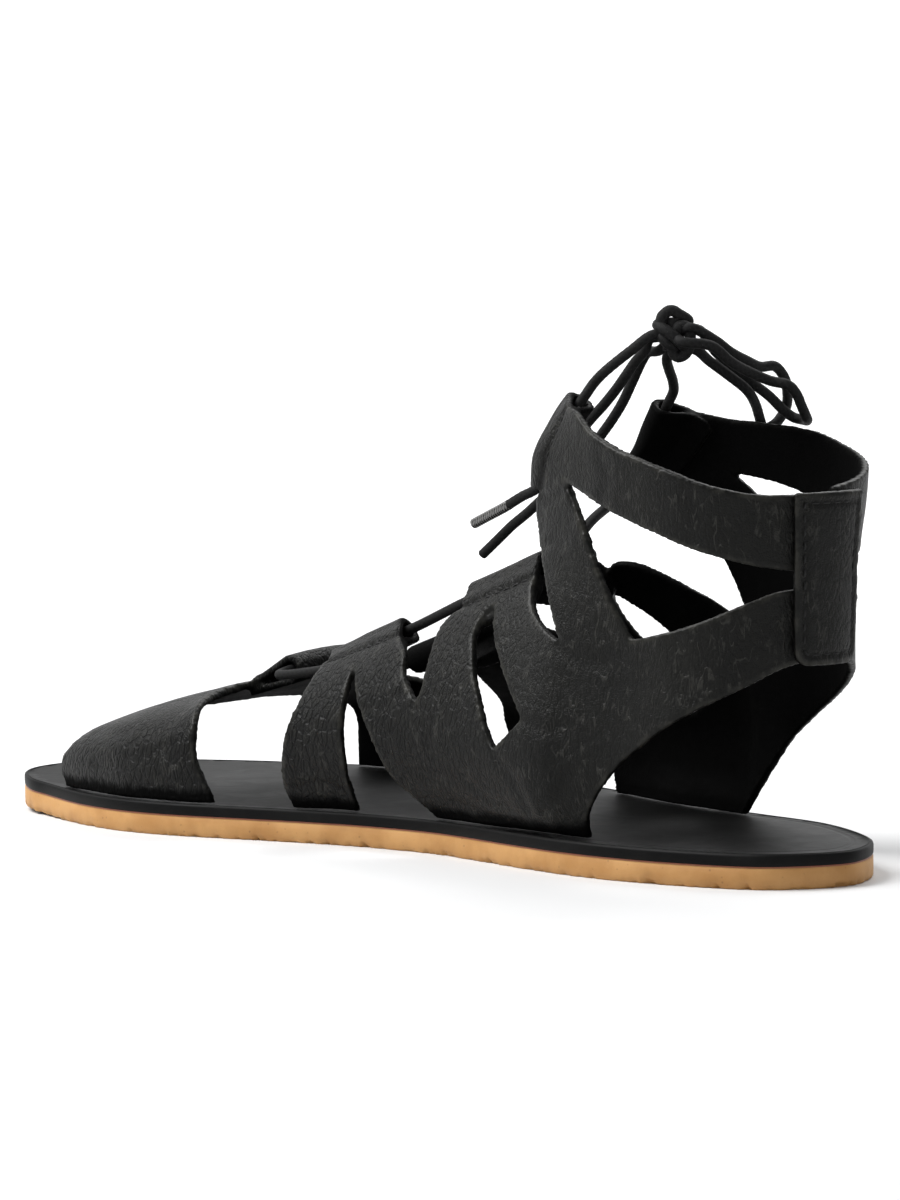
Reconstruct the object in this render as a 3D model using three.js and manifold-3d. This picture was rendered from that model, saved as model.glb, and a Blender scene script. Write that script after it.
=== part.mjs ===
// Lace-up strap sandal for the right foot, standing on its sole.
// Millimetres, +X towards the toes, +Y towards the inner ankle, +Z up.
// The origin is on the floor under the middle of the sole.
import * as THREE from "three";
import { mergeVertices } from "three/addons/utils/BufferGeometryUtils.js";
import Module from "manifold-3d";

const wasm = await Module();
wasm.setup();

// Driving sizes
const soleLength = 254;
const soleWidth = 97;
const gumThickness = 4.6;
const insoleThickness = 2.7;
const toeSpring = 1.8;
const leather = 1.75;
const laceDiameter = 2.3;
const clearance = 0.3;
const tunnelRoom = 0.6;
const upperHeight = 96.4;
const ankleWidth = 53;
const medialInset = 2;
const lateralInset = 3.5;

// Sizes worked out from them
const halfLength = soleLength / 2;
const halfWidth = soleWidth / 2;
const lengthOf = (share) => share * halfLength;
const insoleTop = gumThickness + clearance + insoleThickness;
const footLine = insoleTop + clearance;
const ankle = ankleWidth / 2;
const MEDIAL = 1;
const LATERAL = -1;

// Smooth value between the rows of a table, rows sorted by their first column
function along(rows, x, column = 1) {
  const last = rows.length - 1;
  if (x <= rows[0][0]) return rows[0][column];
  if (x >= rows[last][0]) return rows[last][column];
  let i = 0;
  while (x > rows[i + 1][0]) i++;
  const rise = (k) => (rows[k + 1][column] - rows[k][column]) / (rows[k + 1][0] - rows[k][0]);
  const slope = (k) => {
    if (k === 0) return rise(0);
    if (k === last) return rise(last - 1);
    const before = rise(k - 1);
    const after = rise(k);
    return before * after <= 0 ? 0 : (2 * before * after) / (before + after);
  };
  const h = rows[i + 1][0] - rows[i][0];
  const t = (x - rows[i][0]) / h;
  const s = 1 - t;
  return (
    rows[i][column] * s * s * (1 + 2 * t) +
    rows[i + 1][column] * t * t * (3 - 2 * t) +
    h * s * t * (slope(i) * s - slope(i + 1) * t)
  );
}

const mix = THREE.MathUtils.lerp;

// 0 at from, 1 at to and an S curve between; from may be the larger
function smooth(from, to, x) {
  const t = THREE.MathUtils.clamp((x - from) / (to - from), 0, 1);
  return t * t * (3 - 2 * t);
}

// Edge of the sole. Columns: along, lateral, medial, as shares of half length and half width
const SOLE_EDGE = [
  [-0.985, -0.02, 0.27],
  [-0.934, -0.22, 0.465],
  [-0.856, -0.376, 0.572],
  [-0.698, -0.568, 0.677],
  [-0.54, -0.628, 0.702],
  [-0.383, -0.675, 0.661],
  [-0.226, -0.768, 0.603],
  [-0.147, -0.826, 0.593],
  [0.01, -0.929, 0.642],
  [0.168, -0.989, 0.756],
  [0.247, -0.999, 0.826],
  [0.404, -0.97, 0.96],
  [0.522, -0.912, 0.999],
  [0.64, -0.818, 0.968],
  [0.798, -0.576, 0.865],
  [0.877, -0.374, 0.815],
  [0.956, -0.104, 0.681],
  [0.988, 0.09, 0.545],
];
const HEEL_TIP = [-1, 0.125];
const TOE_TIP = [1, 0.33];

// Foot that the side straps follow. Columns: up, half width as a share of the ankle's;
// at the heel the lateral and then the medial half
const MID_HALF = [
  [0, 1.06],
  [0.09, 1.226],
  [0.18, 1.28],
  [0.44, 1.17],
  [0.79, 0.985],
  [1, 1],
];
const HEEL_HALF = [
  [0, 0.96, 0.96],
  [0.18, 1.04, 1.04],
  [0.44, 0.98, 0.98],
  [0.6, 0.99, 0.98],
  [0.79, 1.08, 1.02],
  [1, 1.14, 1.05],
];
// Back of the heel. Columns: up, along
const HEEL_BACK = [
  [0, -0.912],
  [0.44, -0.92],
  [0.7, -0.938],
  [1, -0.955],
];
// Height of the instep's crest. Columns: along, up
const INSTEP_CREST = [
  [-0.52, 1.27],
  [-0.48, 0.92],
  [-0.44, 0.79],
  [-0.405, 0.735],
  [-0.354, 0.71],
  [-0.182, 0.617],
  [-0.005, 0.507],
  [0.178, 0.395],
  [0.24, 0.355],
];
// Front of the ankle. Columns: up, along
const ANKLE_FRONT = [
  [0.44, 0.1],
  [0.52, -0.08],
  [0.6, -0.2],
  [0.67, -0.225],
  [0.72, -0.222],
  [0.83, -0.215],
  [0.92, -0.3],
  [1, -0.38],
];
// Notch that parts the instep from the ankle. Columns: up, along
const NOTCH_LINE = [
  [0.44, -0.527],
  [0.5, -0.46],
  [0.585, -0.41],
  [0.65, -0.385],
  [0.7, -0.35],
  [0.76, -0.28],
  [1, -0.25],
];
// Shares at which one form goes over into the next
const crestStart = 0.18;
const ankleStart = -0.7;
const heelStart = -0.693;
const heelWrap = 0.362;
const heelBlend = -0.45;
const footBlend = 0.42;
const notchBlend = 0.02;
const middleLine = 2.25;

const edgeOf = (side, x) => halfWidth * along(SOLE_EDGE, x / halfLength, side === MEDIAL ? 2 : 1);

// Distance from the middle line to the outer face of a side strap
function halfAt(side, x, z) {
  const up = (z - footLine) / upperHeight;
  const share = x / halfLength;
  const inset = side === MEDIAL ? medialInset : lateralInset;
  const foot = side * (edgeOf(side, x) - middleLine) - inset;
  const low = 1 - smooth(0, footBlend, up);
  const mid = ankle * along(MID_HALF, up) + (foot - ankle * MID_HALF[0][1]) * low;
  const heel = ankle * along(HEEL_HALF, up, side === MEDIAL ? 2 : 1);
  const half = mix(mid, heel, smooth(heelBlend, heelStart + notchBlend, share));
  const rise = Math.max(0, (up - crestStart) / (along(INSTEP_CREST, share) - crestStart));
  const crown = Math.sqrt(Math.max(0, 1 - rise * rise));
  const reach = Math.max(0, (share - ankleStart) / (along(ANKLE_FRONT, up) - ankleStart));
  const front = Math.sqrt(Math.max(0, 1 - reach * reach));
  const notch = along(NOTCH_LINE, up);
  return half * mix(front, crown, smooth(notch - notchBlend, notch + notchBlend, share));
}

// Point on the outer face: u runs along the foot and then round the heel, z is the height
function sidePoint(side, u, z) {
  const start = lengthOf(heelStart);
  if (u >= start) return new THREE.Vector3(u, middleLine + side * halfAt(side, u, z), z);
  const up = (z - footLine) / upperHeight;
  const depth = start - lengthOf(along(HEEL_BACK, up));
  const turn = ((start - u) / lengthOf(heelWrap)) * (Math.PI / 2);
  const half = halfAt(side, start, z);
  return new THREE.Vector3(
    start - depth * Math.sin(turn),
    middleLine + side * half * Math.cos(turn),
    z
  );
}

// Height of the toe strap's arch. Columns: along, up
const TOE_ARCH = [
  [0.3, 0.35],
  [0.323, 0.34],
  [0.37, 0.31],
  [0.43, 0.268],
  [0.5, 0.245],
  [0.57, 0.226],
  [0.7, 0.178],
  [0.78, 0.14],
];
// Roundness of the arch: its sides, its top and its lower outer shoulder
const toeSide = 0.72;
const toeTop = 0.62;
const toeShoulder = 0.42;
const toeCrown = 0.07;
const toeLean = 3.5;
const toeArc = 125;

// Point on the outer face of the toe strap: turn runs from the inner foot, 0, to the outer, 1
function toePoint(x, turn) {
  const inner = edgeOf(MEDIAL, x) - medialInset;
  const outer = edgeOf(LATERAL, x) + lateralInset;
  const angle = Math.PI * THREE.MathUtils.clamp(turn, 0, 1);
  const c = Math.cos(angle);
  const s = Math.sin(angle);
  const across = Math.sign(c) * Math.pow(Math.abs(c), toeSide);
  const round = mix(toeTop, toeShoulder, smooth(0.4, 0.7, turn));
  const rise = Math.pow(s, round) * (1 + toeCrown * smooth(0.3, 0.6, turn));
  return new THREE.Vector3(
    x,
    mix(outer, inner, 0.5 + across / 2) + toeLean * s * Math.abs(c) * Math.sign(c),
    footLine + upperHeight * along(TOE_ARCH, x / halfLength) * rise
  );
}

// Outlines of a side strap piece, walked as runs that meet at corners. Columns: along, up
const STRAP_FRONT = {
  [MEDIAL]: [
    [0.157, 0],
    [0.157, 0.055],
    [0.152, 0.108],
    [0.145, 0.162],
    [0.136, 0.214],
    [0.131, 0.28],
    [0.14, 0.342],
  ],
  [LATERAL]: [
    [0.14, 0],
    [0.156, 0.07],
    [0.175, 0.14],
    [0.168, 0.2],
    [0.161, 0.26],
    [0.145, 0.3],
    [0.129, 0.326],
  ],
};
const LOOP_ONE_REAR = [
  [-0.056, 0.42],
  [-0.102, 0.384],
  [-0.118, 0.342],
  [-0.138, 0.312],
  [-0.164, 0.281],
];
const LOOP_TWO_FRONT = {
  [MEDIAL]: [
    [-0.171, 0.281],
    [-0.178, 0.31],
    [-0.178, 0.357],
    [-0.172, 0.415],
    [-0.174, 0.456],
    [-0.192, 0.482],
    [-0.208, 0.492],
  ],
  [LATERAL]: [
    [-0.171, 0.281],
    [-0.177, 0.31],
    [-0.172, 0.357],
    [-0.152, 0.415],
    [-0.135, 0.456],
    [-0.13, 0.476],
    [-0.134, 0.489],
  ],
};
const LOOP_TWO_REAR = {
  [MEDIAL]: [
    [-0.377, 0.574],
    [-0.391, 0.538],
    [-0.416, 0.5],
    [-0.457, 0.472],
    [-0.508, 0.441],
  ],
  [LATERAL]: [
    [-0.264, 0.566],
    [-0.29, 0.584],
    [-0.32, 0.587],
    [-0.358, 0.572],
    [-0.407, 0.54],
    [-0.47, 0.482],
    [-0.536, 0.43],
  ],
};
const ANKLE_STRAP_FRONT = {
  [MEDIAL]: [
    [-0.512, 0.447],
    [-0.482, 0.514],
    [-0.436, 0.597],
    [-0.403, 0.657],
    [-0.388, 0.706],
    [-0.39, 0.75],
    [-0.403, 0.776],
  ],
  [LATERAL]: [
    [-0.541, 0.436],
    [-0.53, 0.49],
    [-0.505, 0.575],
    [-0.468, 0.66],
    [-0.425, 0.73],
    [-0.378, 0.776],
  ],
};
const CUFF_TOP = {
  [MEDIAL]: [
    [-0.463, 0.966],
    [-0.508, 0.952],
    [-0.558, 0.914],
    [-0.624, 0.88],
    [-0.695, 0.855],
    [-0.75, 0.831],
    [-0.805, 0.805],
    [-0.854, 0.789],
    [-0.91, 0.778],
    [-1.055, 0.778],
  ],
  [LATERAL]: [
    [-0.463, 0.94],
    [-0.516, 0.922],
    [-0.575, 0.914],
    [-0.69, 0.894],
    [-0.765, 0.867],
    [-0.85, 0.84],
    [-0.93, 0.817],
    [-1.055, 0.79],
  ],
};
const CUFF_BOTTOM = {
  [MEDIAL]: [
    [-1.055, 0.605],
    [-0.968, 0.609],
    [-0.914, 0.619],
    [-0.855, 0.635],
    [-0.795, 0.656],
    [-0.728, 0.688],
    [-0.627, 0.732],
    [-0.55, 0.768],
    [-0.484, 0.797],
  ],
  [LATERAL]: [
    [-1.055, 0.605],
    [-0.968, 0.62],
    [-0.88, 0.652],
    [-0.79, 0.697],
    [-0.71, 0.737],
    [-0.63, 0.769],
    [-0.57, 0.787],
    [-0.52, 0.798],
  ],
};
const ANKLE_STRAP_REAR = {
  [MEDIAL]: [
    [-0.484, 0.797],
    [-0.51, 0.755],
    [-0.54, 0.697],
    [-0.561, 0.651],
    [-0.599, 0.572],
    [-0.636, 0.501],
    [-0.662, 0.452],
  ],
  [LATERAL]: [
    [-0.52, 0.798],
    [-0.57, 0.748],
    [-0.61, 0.695],
    [-0.645, 0.635],
    [-0.668, 0.572],
    [-0.68, 0.51],
    [-0.685, 0.47],
  ],
};
const HEEL_BAND_TOP = {
  [MEDIAL]: [
    [-0.662, 0.452],
    [-0.717, 0.465],
    [-0.762, 0.478],
    [-0.831, 0.509],
    [-0.894, 0.541],
    [-0.947, 0.563],
    [-1.055, 0.575],
  ],
  [LATERAL]: [
    [-0.685, 0.47],
    [-0.735, 0.482],
    [-0.79, 0.5],
    [-0.85, 0.522],
    [-0.91, 0.545],
    [-0.96, 0.563],
    [-1.055, 0.575],
  ],
};
const HEEL_BAND_BOTTOM = {
  [MEDIAL]: [
    [-1.055, 0.405],
    [-0.999, 0.403],
    [-0.945, 0.386],
    [-0.897, 0.357],
    [-0.85, 0.329],
    [-0.803, 0.302],
    [-0.754, 0.269],
    [-0.7, 0.224],
    [-0.648, 0.176],
    [-0.61, 0.122],
    [-0.586, 0.077],
    [-0.572, 0.041],
    [-0.566, 0],
  ],
  [LATERAL]: [
    [-1.055, 0.405],
    [-0.99, 0.402],
    [-0.93, 0.388],
    [-0.868, 0.36],
    [-0.82, 0.332],
    [-0.775, 0.303],
    [-0.735, 0.275],
    [-0.7, 0.243],
    [-0.66, 0.19],
    [-0.622, 0.122],
    [-0.6, 0.077],
    [-0.586, 0.041],
    [-0.572, 0],
  ],
};
const LEG_FRONT = [
  [-0.162, 0],
  [-0.12, 0.055],
  [-0.087, 0.098],
  [-0.067, 0.151],
  [-0.05, 0.202],
  [-0.02, 0.262],
  [0.02, 0.333],
];
const STRAP_REAR = [
  [0.029, 0.333],
  [0.021, 0.284],
  [0.017, 0.222],
  [0.015, 0.171],
  [0.017, 0.117],
  [0.02, 0.062],
  [0.026, 0],
];
const WINDOW_FRONT = {
  [MEDIAL]: [
    [-0.298, 0.503],
    [-0.282, 0.482],
    [-0.278, 0.438],
    [-0.291, 0.398],
    [-0.309, 0.351],
    [-0.338, 0.288],
    [-0.363, 0.229],
    [-0.386, 0.186],
  ],
  [LATERAL]: [
    [-0.25, 0.515],
    [-0.238, 0.48],
    [-0.246, 0.43],
    [-0.272, 0.38],
    [-0.305, 0.33],
    [-0.325, 0.27],
    [-0.345, 0.213],
  ],
};
const WINDOW_FOOT = {
  [MEDIAL]: [
    [-0.386, 0.186],
    [-0.418, 0.224],
    [-0.444, 0.253],
    [-0.451, 0.268],
  ],
  [LATERAL]: [
    [-0.345, 0.213],
    [-0.385, 0.247],
    [-0.42, 0.276],
    [-0.43, 0.29],
  ],
};
const WINDOW_REAR = {
  [MEDIAL]: [
    [-0.451, 0.268],
    [-0.42, 0.308],
    [-0.373, 0.376],
    [-0.331, 0.441],
    [-0.304, 0.503],
  ],
  [LATERAL]: [
    [-0.43, 0.29],
    [-0.41, 0.33],
    [-0.36, 0.4],
    [-0.305, 0.465],
    [-0.25, 0.515],
  ],
};

// Lace loops: the fold over the lace and the stitch line below it.
// Columns: way along the loop, fold along, fold up, stitch along, stitch up
const LACE_LOOPS = {
  [MEDIAL]: [
    [
      [0, 0.178, 0.366, 0.128, 0.345],
      [1, -0.005, 0.461, -0.052, 0.421],
    ],
    [
      [0, -0.182, 0.556, -0.209, 0.494],
      [1, -0.354, 0.64, -0.377, 0.575],
    ],
    [
      [0, -0.352, 0.777, -0.405, 0.775],
      [0.45, -0.364, 0.85, -0.428, 0.865],
      [1, -0.412, 1, -0.463, 0.966],
    ],
  ],
  [LATERAL]: [
    [
      [0, 0.235, 0.348, 0.184, 0.326],
      [1, 0.02, 0.462, -0.03, 0.42],
    ],
    [
      [0, -0.1, 0.546, -0.134, 0.49],
      [1, -0.235, 0.622, -0.264, 0.565],
    ],
    [
      [0, -0.305, 0.777, -0.375, 0.775],
      [0.45, -0.338, 0.85, -0.415, 0.855],
      [1, -0.408, 0.975, -0.463, 0.94],
    ],
  ],
};
// Loop of the toe strap. Columns: way along, fold along, fold turn, stitch along, stitch turn
const TOE_LOOP = [
  [0, 0.323, 0.42, 0.449, 0.44],
  [1, 0.323, 0.528, 0.449, 0.545],
];

// Fineness of the outlines, sheets and tubes
const outlineStep = 4.4;
const shortestStep = 0.2;
const sheetStep = 8;
const soleStep = 20;
const stripStep = 4.8;
const solePoints = 96;
const laceSides = 8;
const laceSteps = 60;
const bowSteps = 24;
const endSteps = 16;
const loopSections = 4;
const loopArcPoints = 6;
const bowRadius = 4000;
const probe = 0.4;

// Lace loops
const loopFlap = 7;
const leastFlap = 1.5;
const toeFlap = 2;
const flapCorner = 5;
const flapRise = 2;
const loopBulge = 0.7;
const loopSeat = 0.06;
const tunnelFoot = 0.8;
const tunnelTurn = 0.25;
const tunnelLead = 4.5;

// Strip at the back of the heel, with its ends as shares of the upper's height
const stripWidth = 19.6;
const stripLean = 1.7;
const stripCorner = 3.5;
const stripLow = 0.4;
const stripHigh = 0.784;

// The outer foot stands further forward than the inner one, as shares of the half length
const footShift = 0.045;
const strapShift = 0.055;

// Low edges of the leather stand upright on the insole
const uprightFoot = 0.08;
const uprightToe = 10;

// Lace in the air, in millimetres: its ways up to the knot, the knot, the bow and the ends
const crossingLift = 1.2;
const TO_KNOT = {
  [MEDIAL]: [
    [-60.5, 12, 108],
    [-65, 8.5, 112.5],
    [-68.5, 5, 116],
    [-70, 2.5, 116],
  ],
  [LATERAL]: [
    [-60.7, -8.9, 105.5],
    [-62.6, -5.9, 108],
    [-64.6, -3.2, 110.5],
    [-67.4, -2, 113.6],
  ],
};
const KNOT = [-70.7, 1, 115.9];
const knotRadius = 3.6;
const knotHeight = 6.4;
const knotTurnRadius = 3.2;
const knotSlack = 1.1;
// Columns: height, lean, turn
const KNOT_TURNS = [
  [2.2, 0.45, 0.4],
  [-2.2, -0.4, -0.3],
];
const UPPER_BOW = [
  [-72, 0.5, 116.5],
  [-75, 0, 117.5],
  [-76.5, -6.5, 114.5],
  [-77.5, -10, 112],
  [-77.5, -15, 110],
  [-77, -20, 108.5],
  [-77.5, -24, 108.5],
  [-77.5, -27, 106],
  [-76, -29.5, 103],
  [-74.5, -31, 100],
  [-73, -31.5, 98],
  [-72.5, -30, 96],
  [-72.5, -28, 95],
  [-71, -27, 94.5],
  [-70.5, -26.5, 96.5],
  [-72, -23.5, 100],
  [-74.5, -18, 103.5],
  [-73.5, -13, 107],
  [-72.5, -8.5, 110],
  [-73.5, -3.5, 112.5],
  [-71.5, 0, 114],
];
const LOWER_BOW = [
  [-72, 1.5, 115.5],
  [-75.5, 3, 114.5],
  [-79, -2.5, 113.5],
  [-80.5, -7, 110],
  [-80.5, -13, 107.5],
  [-82, -18, 105.5],
  [-85, -20.5, 104.5],
  [-85.5, -22.5, 102.5],
  [-85.5, -24, 100],
  [-85, -26, 97.5],
  [-83, -28.5, 96.5],
  [-80.5, -30, 96.5],
  [-78, -29.5, 97],
  [-76.5, -28, 98.5],
  [-74, -25.5, 102],
  [-71, -22, 105.5],
  [-70.5, -17.5, 108.5],
  [-71, -12, 112],
  [-72.5, -5, 117],
  [-71.5, -0.5, 116.5],
];
const LONG_END = [
  [-69.5, 2, 115.5],
  [-65.5, 3, 115],
  [-64.5, 3.5, 112.5],
  [-62, 4, 110],
  [-60, 5, 107],
  [-57.5, 5.5, 104],
  [-54, 6, 100.5],
  [-50, 6.5, 97],
  [-46, 7, 93],
  [-41.5, 7, 89],
  [-37.5, 7, 85],
  [-33.5, 7, 81.5],
  [-28.5, 7, 79.5],
  [-23, 7, 77],
  [-18, 7, 75],
  [-13, 7, 73],
];
const SHORT_END = [
  [-69.5, 0.5, 115],
  [-66, 0.5, 112.5],
  [-62, 0, 112],
  [-59, -1, 110],
  [-56, -1, 105.5],
  [-53.5, -0.5, 101],
  [-51, 0, 97.5],
  [-48, 0.5, 94],
  [-44, 1.5, 89.5],
  [-39.5, 2, 85.5],
  [-34, 2, 81.5],
  [-29.5, 2, 78.5],
  [-25, 2, 75.5],
  [-20, 2, 72.5],
  [-15, 2, 69],
  [-10, 2, 65.5],
];
const pointsOf = (rows) => rows.map((row) => new THREE.Vector3(...row));

const toSolid = (positions, triangles) =>
  new wasm.Manifold(
    new wasm.Mesh({
      numProp: 3,
      vertProperties: Float32Array.from(positions),
      triVerts: Uint32Array.from(triangles),
    })
  );

function solidOf(geometry) {
  geometry.deleteAttribute("normal");
  geometry.deleteAttribute("uv");
  const merged = mergeVertices(geometry, 1e-4);
  return toSolid(merged.attributes.position.array, merged.index.array);
}

function geometryOf(solid) {
  const mesh = solid.getMesh();
  const geometry = new THREE.BufferGeometry();
  geometry.setAttribute("position", new THREE.BufferAttribute(Float32Array.from(mesh.vertProperties), 3));
  geometry.setIndex(new THREE.BufferAttribute(Uint32Array.from(mesh.triVerts), 1));
  return geometry;
}

// Even points on a smooth line through the rows
function smoothLine(rows) {
  const curve = new THREE.SplineCurve(rows.map(([x, y]) => new THREE.Vector2(x, y)));
  const steps = Math.max(2, Math.ceil(curve.getLength() / outlineStep));
  return curve.getSpacedPoints(steps);
}

// One closed outline from runs that meet at corners
function joinRuns(runs) {
  const points = [];
  const last = () => points[points.length - 1];
  for (const point of runs.flatMap(smoothLine)) {
    if (!points.length || last().distanceTo(point) > shortestStep) points.push(point);
  }
  if (points[0].distanceTo(last()) < shortestStep) points.pop();
  return points;
}

// A flat blank of leather is cut to its outline and laid on a surface.
// The blank is bowed a little while it is cut, which keeps the squares of its grid.
function cutSheet(outline, holes, thickness, step, place) {
  const bounds = new THREE.Box2().setFromPoints(outline);
  const size = bounds.getSize(new THREE.Vector2()).addScalar(2 * step);
  const middle = bounds.getCenter(new THREE.Vector2());
  const columns = Math.ceil(size.x / step);
  const rows = Math.ceil(size.y / step);
  const bow = (u, v) => ((u - middle.x) ** 2 + (v - middle.y) ** 2) / (2 * bowRadius);
  const blank = new THREE.BoxGeometry(size.x, size.y, thickness, columns, rows, 1);
  blank.translate(middle.x, middle.y, thickness / 2);
  const spots = blank.attributes.position;
  for (let i = 0; i < spots.count; i++) {
    spots.setZ(i, spots.getZ(i) + bow(spots.getX(i), spots.getY(i)));
  }
  const shape = new THREE.Shape(outline);
  shape.holes = holes.map((hole) => new THREE.Path(hole));
  const depth = 20 * thickness;
  const cutter = new THREE.ExtrudeGeometry(shape, { depth, bevelEnabled: false });
  cutter.translate(0, 0, -depth / 2);
  const flat = solidOf(blank).intersect(solidOf(cutter)).getMesh();
  const positions = [];
  for (let i = 0; i < flat.vertProperties.length; i += flat.numProp) {
    const [u, v, w] = flat.vertProperties.slice(i, i + 3);
    const point = place(u, v, THREE.MathUtils.clamp(w - bow(u, v), 0, thickness));
    positions.push(point.x, point.y, point.z);
  }
  return { positions, triangles: Array.from(flat.triVerts) };
}

// Inner normal of a surface given by two numbers
function inwardOf(surface, u, v, du, dv, flip) {
  const lengthwise = surface(u + du, v).sub(surface(u - du, v));
  const across = surface(u, v + dv).sub(surface(u, v - dv));
  return lengthwise.cross(across).multiplyScalar(flip).normalize();
}

// Triangles turned so that the faces of a closed mesh point out
function facingOut(positions, triangles) {
  const corner = (i) => new THREE.Vector3().fromArray(positions, 3 * i);
  let volume = 0;
  for (let i = 0; i < triangles.length; i += 3) {
    const [a, b, c] = [corner(triangles[i]), corner(triangles[i + 1]), corner(triangles[i + 2])];
    volume += a.dot(b.cross(c));
  }
  if (volume > 0) return triangles;
  const turned = [];
  for (let i = 0; i < triangles.length; i += 3) {
    turned.push(triangles[i], triangles[i + 2], triangles[i + 1]);
  }
  return turned;
}

const closedSolid = ({ positions, triangles }) => toSolid(positions, facingOut(positions, triangles));

// Side leather: depth is measured inwards from the outer face
function laySide(side, u, z, depth) {
  const surface = (a, b) => sidePoint(side, a, b);
  const inward = inwardOf(surface, u, z, probe, probe, side);
  inward.z *= smooth(0, uprightFoot, (z - footLine) / upperHeight);
  return surface(u, z).addScaledVector(inward.normalize(), depth);
}

// Toe leather: the second number is the turn as a length along the arch
function layToe(x, arc, depth) {
  const surface = (a, b) => toePoint(a, b / toeArc);
  const wide = 3 * probe;
  const inward = inwardOf(surface, x, THREE.MathUtils.clamp(arc, wide, toeArc - wide), probe, wide, 1);
  inward.z *= smooth(0, uprightToe, Math.min(arc, toeArc - arc));
  return surface(x, arc).addScaledVector(inward.normalize(), depth);
}

// Frame of a lace loop at one place along it
function loopFrame(loop, way) {
  const spotAt = (column) => {
    const shares = new THREE.Vector2(along(loop.rows, way, column), along(loop.rows, way, column + 1));
    return shares.multiply(loop.scale).add(loop.start);
  };
  const fold = spotAt(1);
  const stitch = spotAt(3);
  const on = (share, depth) => {
    const spot = fold.clone().lerp(stitch, share);
    return loop.lay(spot.x, spot.y, depth);
  };
  const top = on(0, 0);
  const up = top.clone().sub(on(1, 0));
  const length = up.length();
  up.normalize();
  const inward = on(0.6, leather).sub(on(0.6, 0));
  inward.addScaledVector(up, -inward.dot(up)).normalize();
  const radius = laceDiameter / 2 + tunnelRoom + leather;
  const centre = top.clone().addScaledVector(up, -radius).addScaledVector(inward, radius - loopBulge);
  return { on, top, up, length, inward, radius, centre };
}

// Leather turned in over the lace and stitched to itself, with the tunnel left open
function laceLoop(loop) {
  const outer = [];
  const inner = [];
  const flat = [];
  const span = loopFrame(loop, 0).centre.distanceTo(loopFrame(loop, 1).centre);
  for (let i = 0; i <= loopSections; i++) {
    const way = i / loopSections;
    const { on, up, length, inward, radius, centre } = loopFrame(loop, way);
    const toEnd = Math.min(way, 1 - way) * span;
    const bend = Math.max(0, flapCorner - toEnd);
    const flap = Math.max(leastFlap, loop.flap - flapCorner + Math.sqrt(flapCorner ** 2 - bend ** 2));
    const ring = [on(1 + flapRise / length, leather / 3), on(1, loopSeat)];
    const hollow = [on(1 - tunnelFoot / length, leather)];
    const arc = (list, r, from, to) => {
      for (let k = 0; k <= loopArcPoints; k++) {
        const angle = mix(from, to, k / loopArcPoints);
        const spot = centre.clone().addScaledVector(up, r * Math.cos(angle));
        list.push(spot.addScaledVector(inward, r * Math.sin(angle)));
      }
    };
    arc(ring, radius, -Math.PI / 2, Math.PI / 2);
    const end = 1 + flap / length;
    ring.push(on(1, 2 * leather), on(end, 2 * leather), on(end, leather / 2));
    const tangent = Math.PI / 2 + tunnelTurn;
    const hollowRadius = (radius - leather) / Math.cos(tangent / loopArcPoints);
    arc(hollow, hollowRadius, -tangent, tangent);
    outer.push(ring);
    inner.push(hollow);
    const flatten = (p) => {
      const reach = p.clone().sub(centre);
      return new THREE.Vector2(reach.dot(up), reach.dot(inward));
    };
    flat.push([ring.map(flatten), hollow.map(flatten)]);
  }
  const ringSize = outer[0].length;
  const hollowSize = inner[0].length;
  const stride = ringSize + hollowSize;
  const positions = [];
  const triangles = [];
  for (let i = 0; i <= loopSections; i++) {
    for (const p of [...outer[i], ...inner[i]]) positions.push(p.x, p.y, p.z);
  }
  const wall = (first, size, turned) => {
    for (let i = 0; i < loopSections; i++) {
      for (let k = 0; k < size; k++) {
        const a = i * stride + first + k;
        const b = i * stride + first + ((k + 1) % size);
        const [c, d] = [a + stride, b + stride];
        if (turned) triangles.push(a, d, b, a, c, d);
        else triangles.push(a, b, d, a, d, c);
      }
    }
  };
  wall(0, ringSize, false);
  wall(ringSize, hollowSize, true);
  const cap = (section, turned) => {
    const [ring, hollow] = flat[section];
    const all = [...ring, ...hollow];
    for (const [a, b, c] of THREE.ShapeUtils.triangulateShape(ring, [hollow])) {
      const area = all[b].clone().sub(all[a]).cross(all[c].clone().sub(all[a]));
      const base = section * stride;
      if (area > 0 === turned) triangles.push(base + a, base + b, base + c);
      else triangles.push(base + a, base + c, base + b);
    }
  };
  const windsLeft = THREE.ShapeUtils.area(flat[0][0]) > 0;
  cap(0, !windsLeft);
  cap(loopSections, windsLeft);
  return closedSolid({ positions, triangles });
}

// Rows of an outline in shares become places on one side
const onSide = (rows, side) =>
  rows.map(([share, up]) => {
    const forward = footShift * smooth(0.3, 0, up) + strapShift * smooth(-0.2, 0.1, share);
    const shift = side === LATERAL ? forward : 0;
    return [lengthOf(share + shift), footLine + up * upperHeight];
  });

const sideScale = new THREE.Vector2(halfLength, upperHeight);
const sideLoop = (side, rows) => ({
  rows,
  flap: loopFlap,
  scale: sideScale,
  start: new THREE.Vector2(0, footLine),
  lay: (u, z, depth) => laySide(side, u, z, depth),
});
const toeLoop = {
  rows: TOE_LOOP,
  flap: toeFlap,
  scale: new THREE.Vector2(halfLength, toeArc),
  start: new THREE.Vector2(0, 0),
  lay: layToe,
};

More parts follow.
